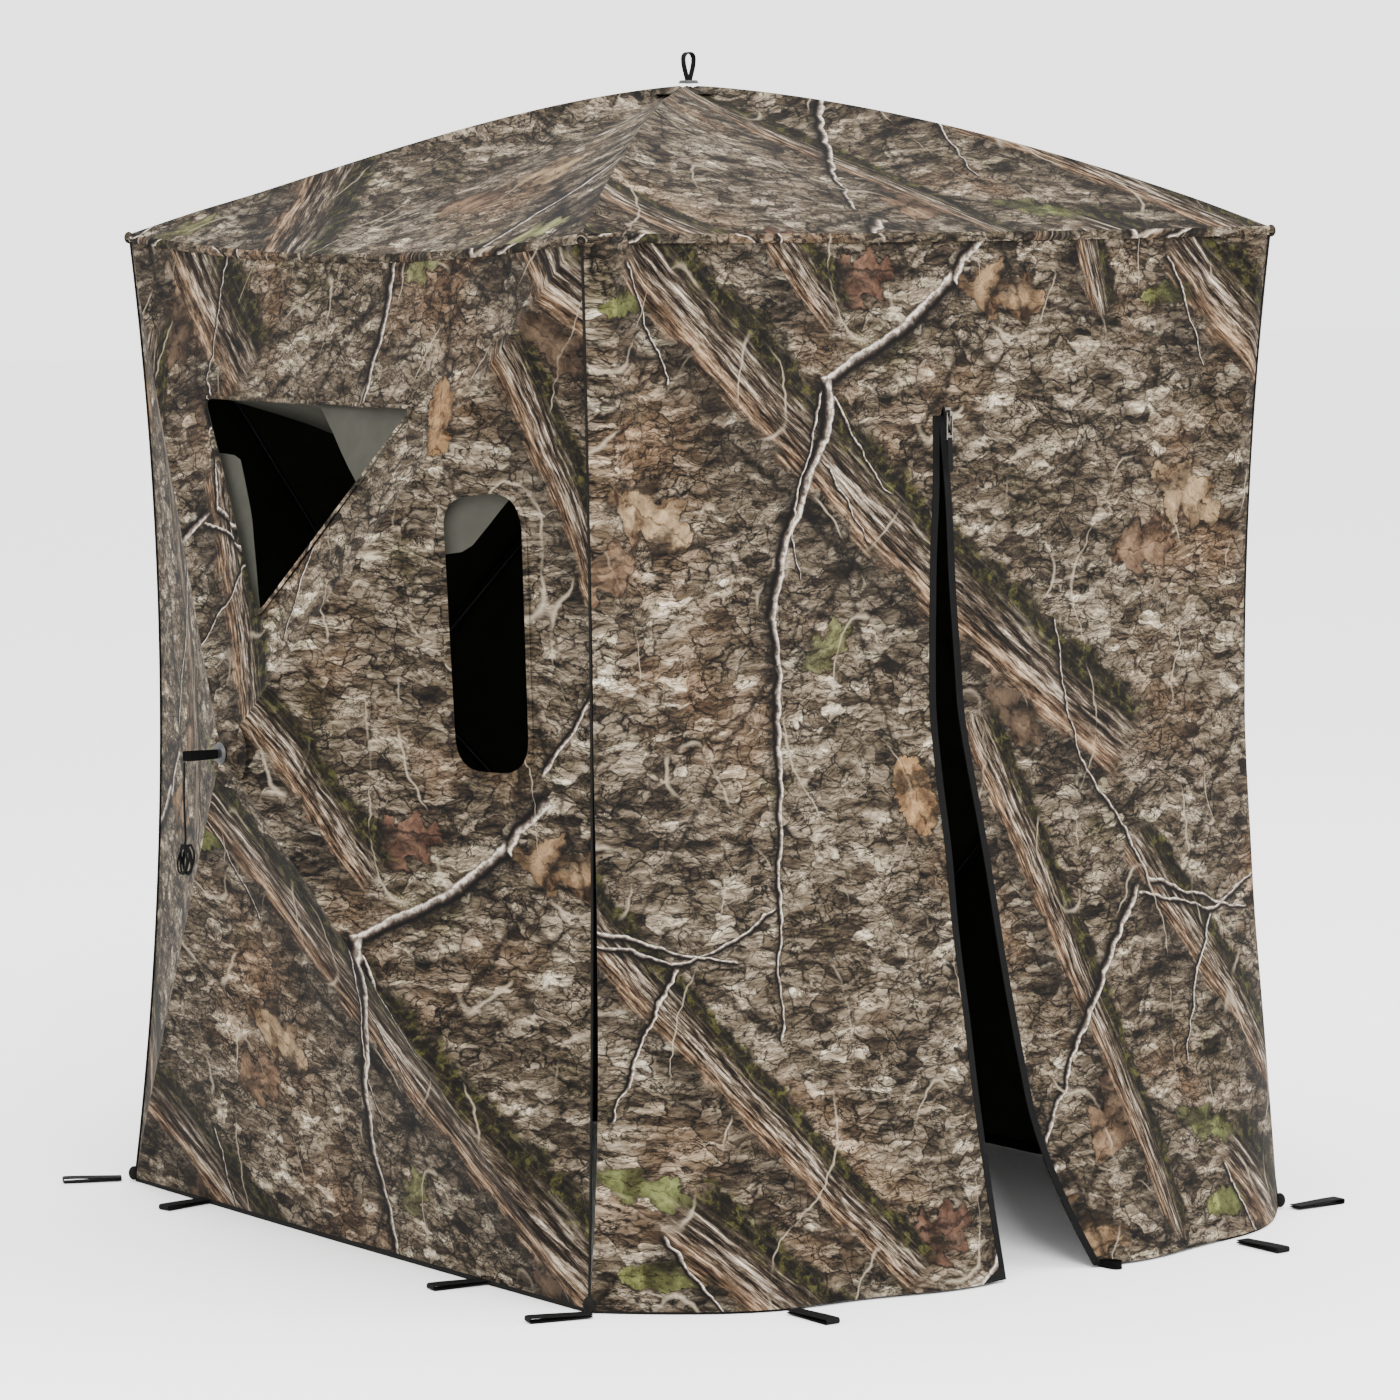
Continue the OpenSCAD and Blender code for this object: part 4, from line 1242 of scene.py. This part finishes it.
def guyCord():
    mid = tent["hubMid"]
    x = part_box("left_loop")[0].x + 0.0012
    drop = [(0, 0.010), (0.001, 0.034), (0.002, 0.060), (0.001, 0.088), (0, 0.118)]
    route = [(x, y, mid - down) for y, down in drop]
    middle = Vector((x, 0, mid - 0.148))
    wide, high = guy["oval"]
    per = 14
    for k in range(1, guy["turns"] * per + 1):
        a = math.pi / 2 + 2 * math.pi * k / per
        turn = (k / per) / guy["turns"]
        lean = math.radians(34 * math.sin(turn * 9))
        y, z = wide * math.cos(a) * (0.9 + 0.12 * turn), high * math.sin(a)
        yy, zz = y * math.cos(lean) - z * math.sin(lean), y * math.sin(lean) + z * math.cos(lean)
        route.append(middle + Vector((-0.0062 + 0.0128 * turn, yy, zz)))
    line = smoothLine(route, 4)
    data = bpy.data.curves.new("guy_line", "CURVE")
    data.dimensions = "3D"
    data.bevel_depth = guy["thick"] / 2
    data.bevel_resolution = 2
    data.use_fill_caps = True
    spline = data.splines.new("POLY")
    spline.points.add(len(line) - 1)
    for target, p in zip(spline.points, line):
        target.co = (*p, 1)
    cord = bpy.data.objects.new("guy_line", data)
    bpy.context.scene.collection.objects.link(cord)
    data.materials.append(cordBraid)
    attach(cord, "left_hub_unit")
    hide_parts("guy_cord", "guy_hank")


guyCord()


# webbing tab on the zip's pull
def zipTab():
    low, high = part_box("zip_pull")
    bm = bmesh.new()
    middle = (low + high) / 2
    path = loopPath((middle.x, middle.y, low.z + 0.006), (0, 0, -1), (0, 1, 0), 0.050, 0.0035, steps=6)
    strapSheet(bm, path, Vector((1, 0, 0)), 0.008, 0.0012)
    closedPiece("zip_pull_tab", bm, [webbing], "zip_pull")


# patch and loop at the feet of the two flaps
def flapFeet():
    bm = bmesh.new()
    foot, long, high = gapLeft(0.01) - 0.002, 0.040, 0.020

    def place(s, t):
        x = foot - long * (1 - s)
        return (x, doorY(x, 0.01) - 0.0016 - 0.002 * bow(t), 0.004 + t * high * s ** 0.7)

    faces = gridSheet(bm, 8, 4, place, lambda s, t, p: (s * long, t * high))
    faceOut(bm, faces, lambda c: Vector((0, -1, 0)))
    closedPiece("left_foot_patch", bm, [webbing], "flap_left", wall=0.0014)
    bm = bmesh.new()
    x = gapRight(0.01) + 0.006
    way = Vector((0.35, -0.93, 0)).normalized()
    path = loopPath((x, doorY(x, 0.01) + 0.004, 0.0072), way, (0.93, 0.35, 0), 0.038, 0.0085)
    strapSheet(bm, path, Vector((0, 0, 1)), 0.010, 0.0016)
    closedPiece("right_foot_loop", bm, [webbing], "flap_right")


zipTab()
flapFeet()
print("zip tab and flap feet built")

# studio


lamps = [    # name, place, size, power
    ("key", (-3.0, -7.0, 6.0), 3.5, 1080),
    ("fill", (5.5, -5.0, 3.5), 5.0, 340),
    ("top", (0, 0, 7.5), 5.0, 270),
]


def studio():
    bm = bmesh.new()
    bmesh.ops.create_grid(bm, x_segments=1, y_segments=1, size=40)
    mesh = bpy.data.meshes.new("studio_floor")
    bm.to_mesh(mesh)
    bm.free()
    floor = bpy.data.objects.new("studio_floor", mesh)
    bpy.context.scene.collection.objects.link(floor)
    material, _, shader = newMaterial("pale floor")
    shader.inputs["Base Color"].default_value = srgb("fbfbfb")
    shader.inputs["Roughness"].default_value = 0.9
    mesh.materials.append(material)
    world = bpy.data.worlds.new("studio")
    world.use_nodes = True
    sky = world.node_tree.nodes["Background"].inputs
    sky["Color"].default_value = (1, 1, 1, 1)
    sky["Strength"].default_value = 2.7
    bpy.context.scene.world = world
    for name, place, size, power in lamps:
        data = bpy.data.lights.new(name, "AREA")
        data.size = size
        data.energy = power
        lamp = bpy.data.objects.new(name, data)
        bpy.context.scene.collection.objects.link(lamp)
        lamp.location = place
        lamp.rotation_euler = (Vector((0, 0, 0.7)) - Vector(place)).to_track_quat("-Z", "Y").to_euler()


studio()
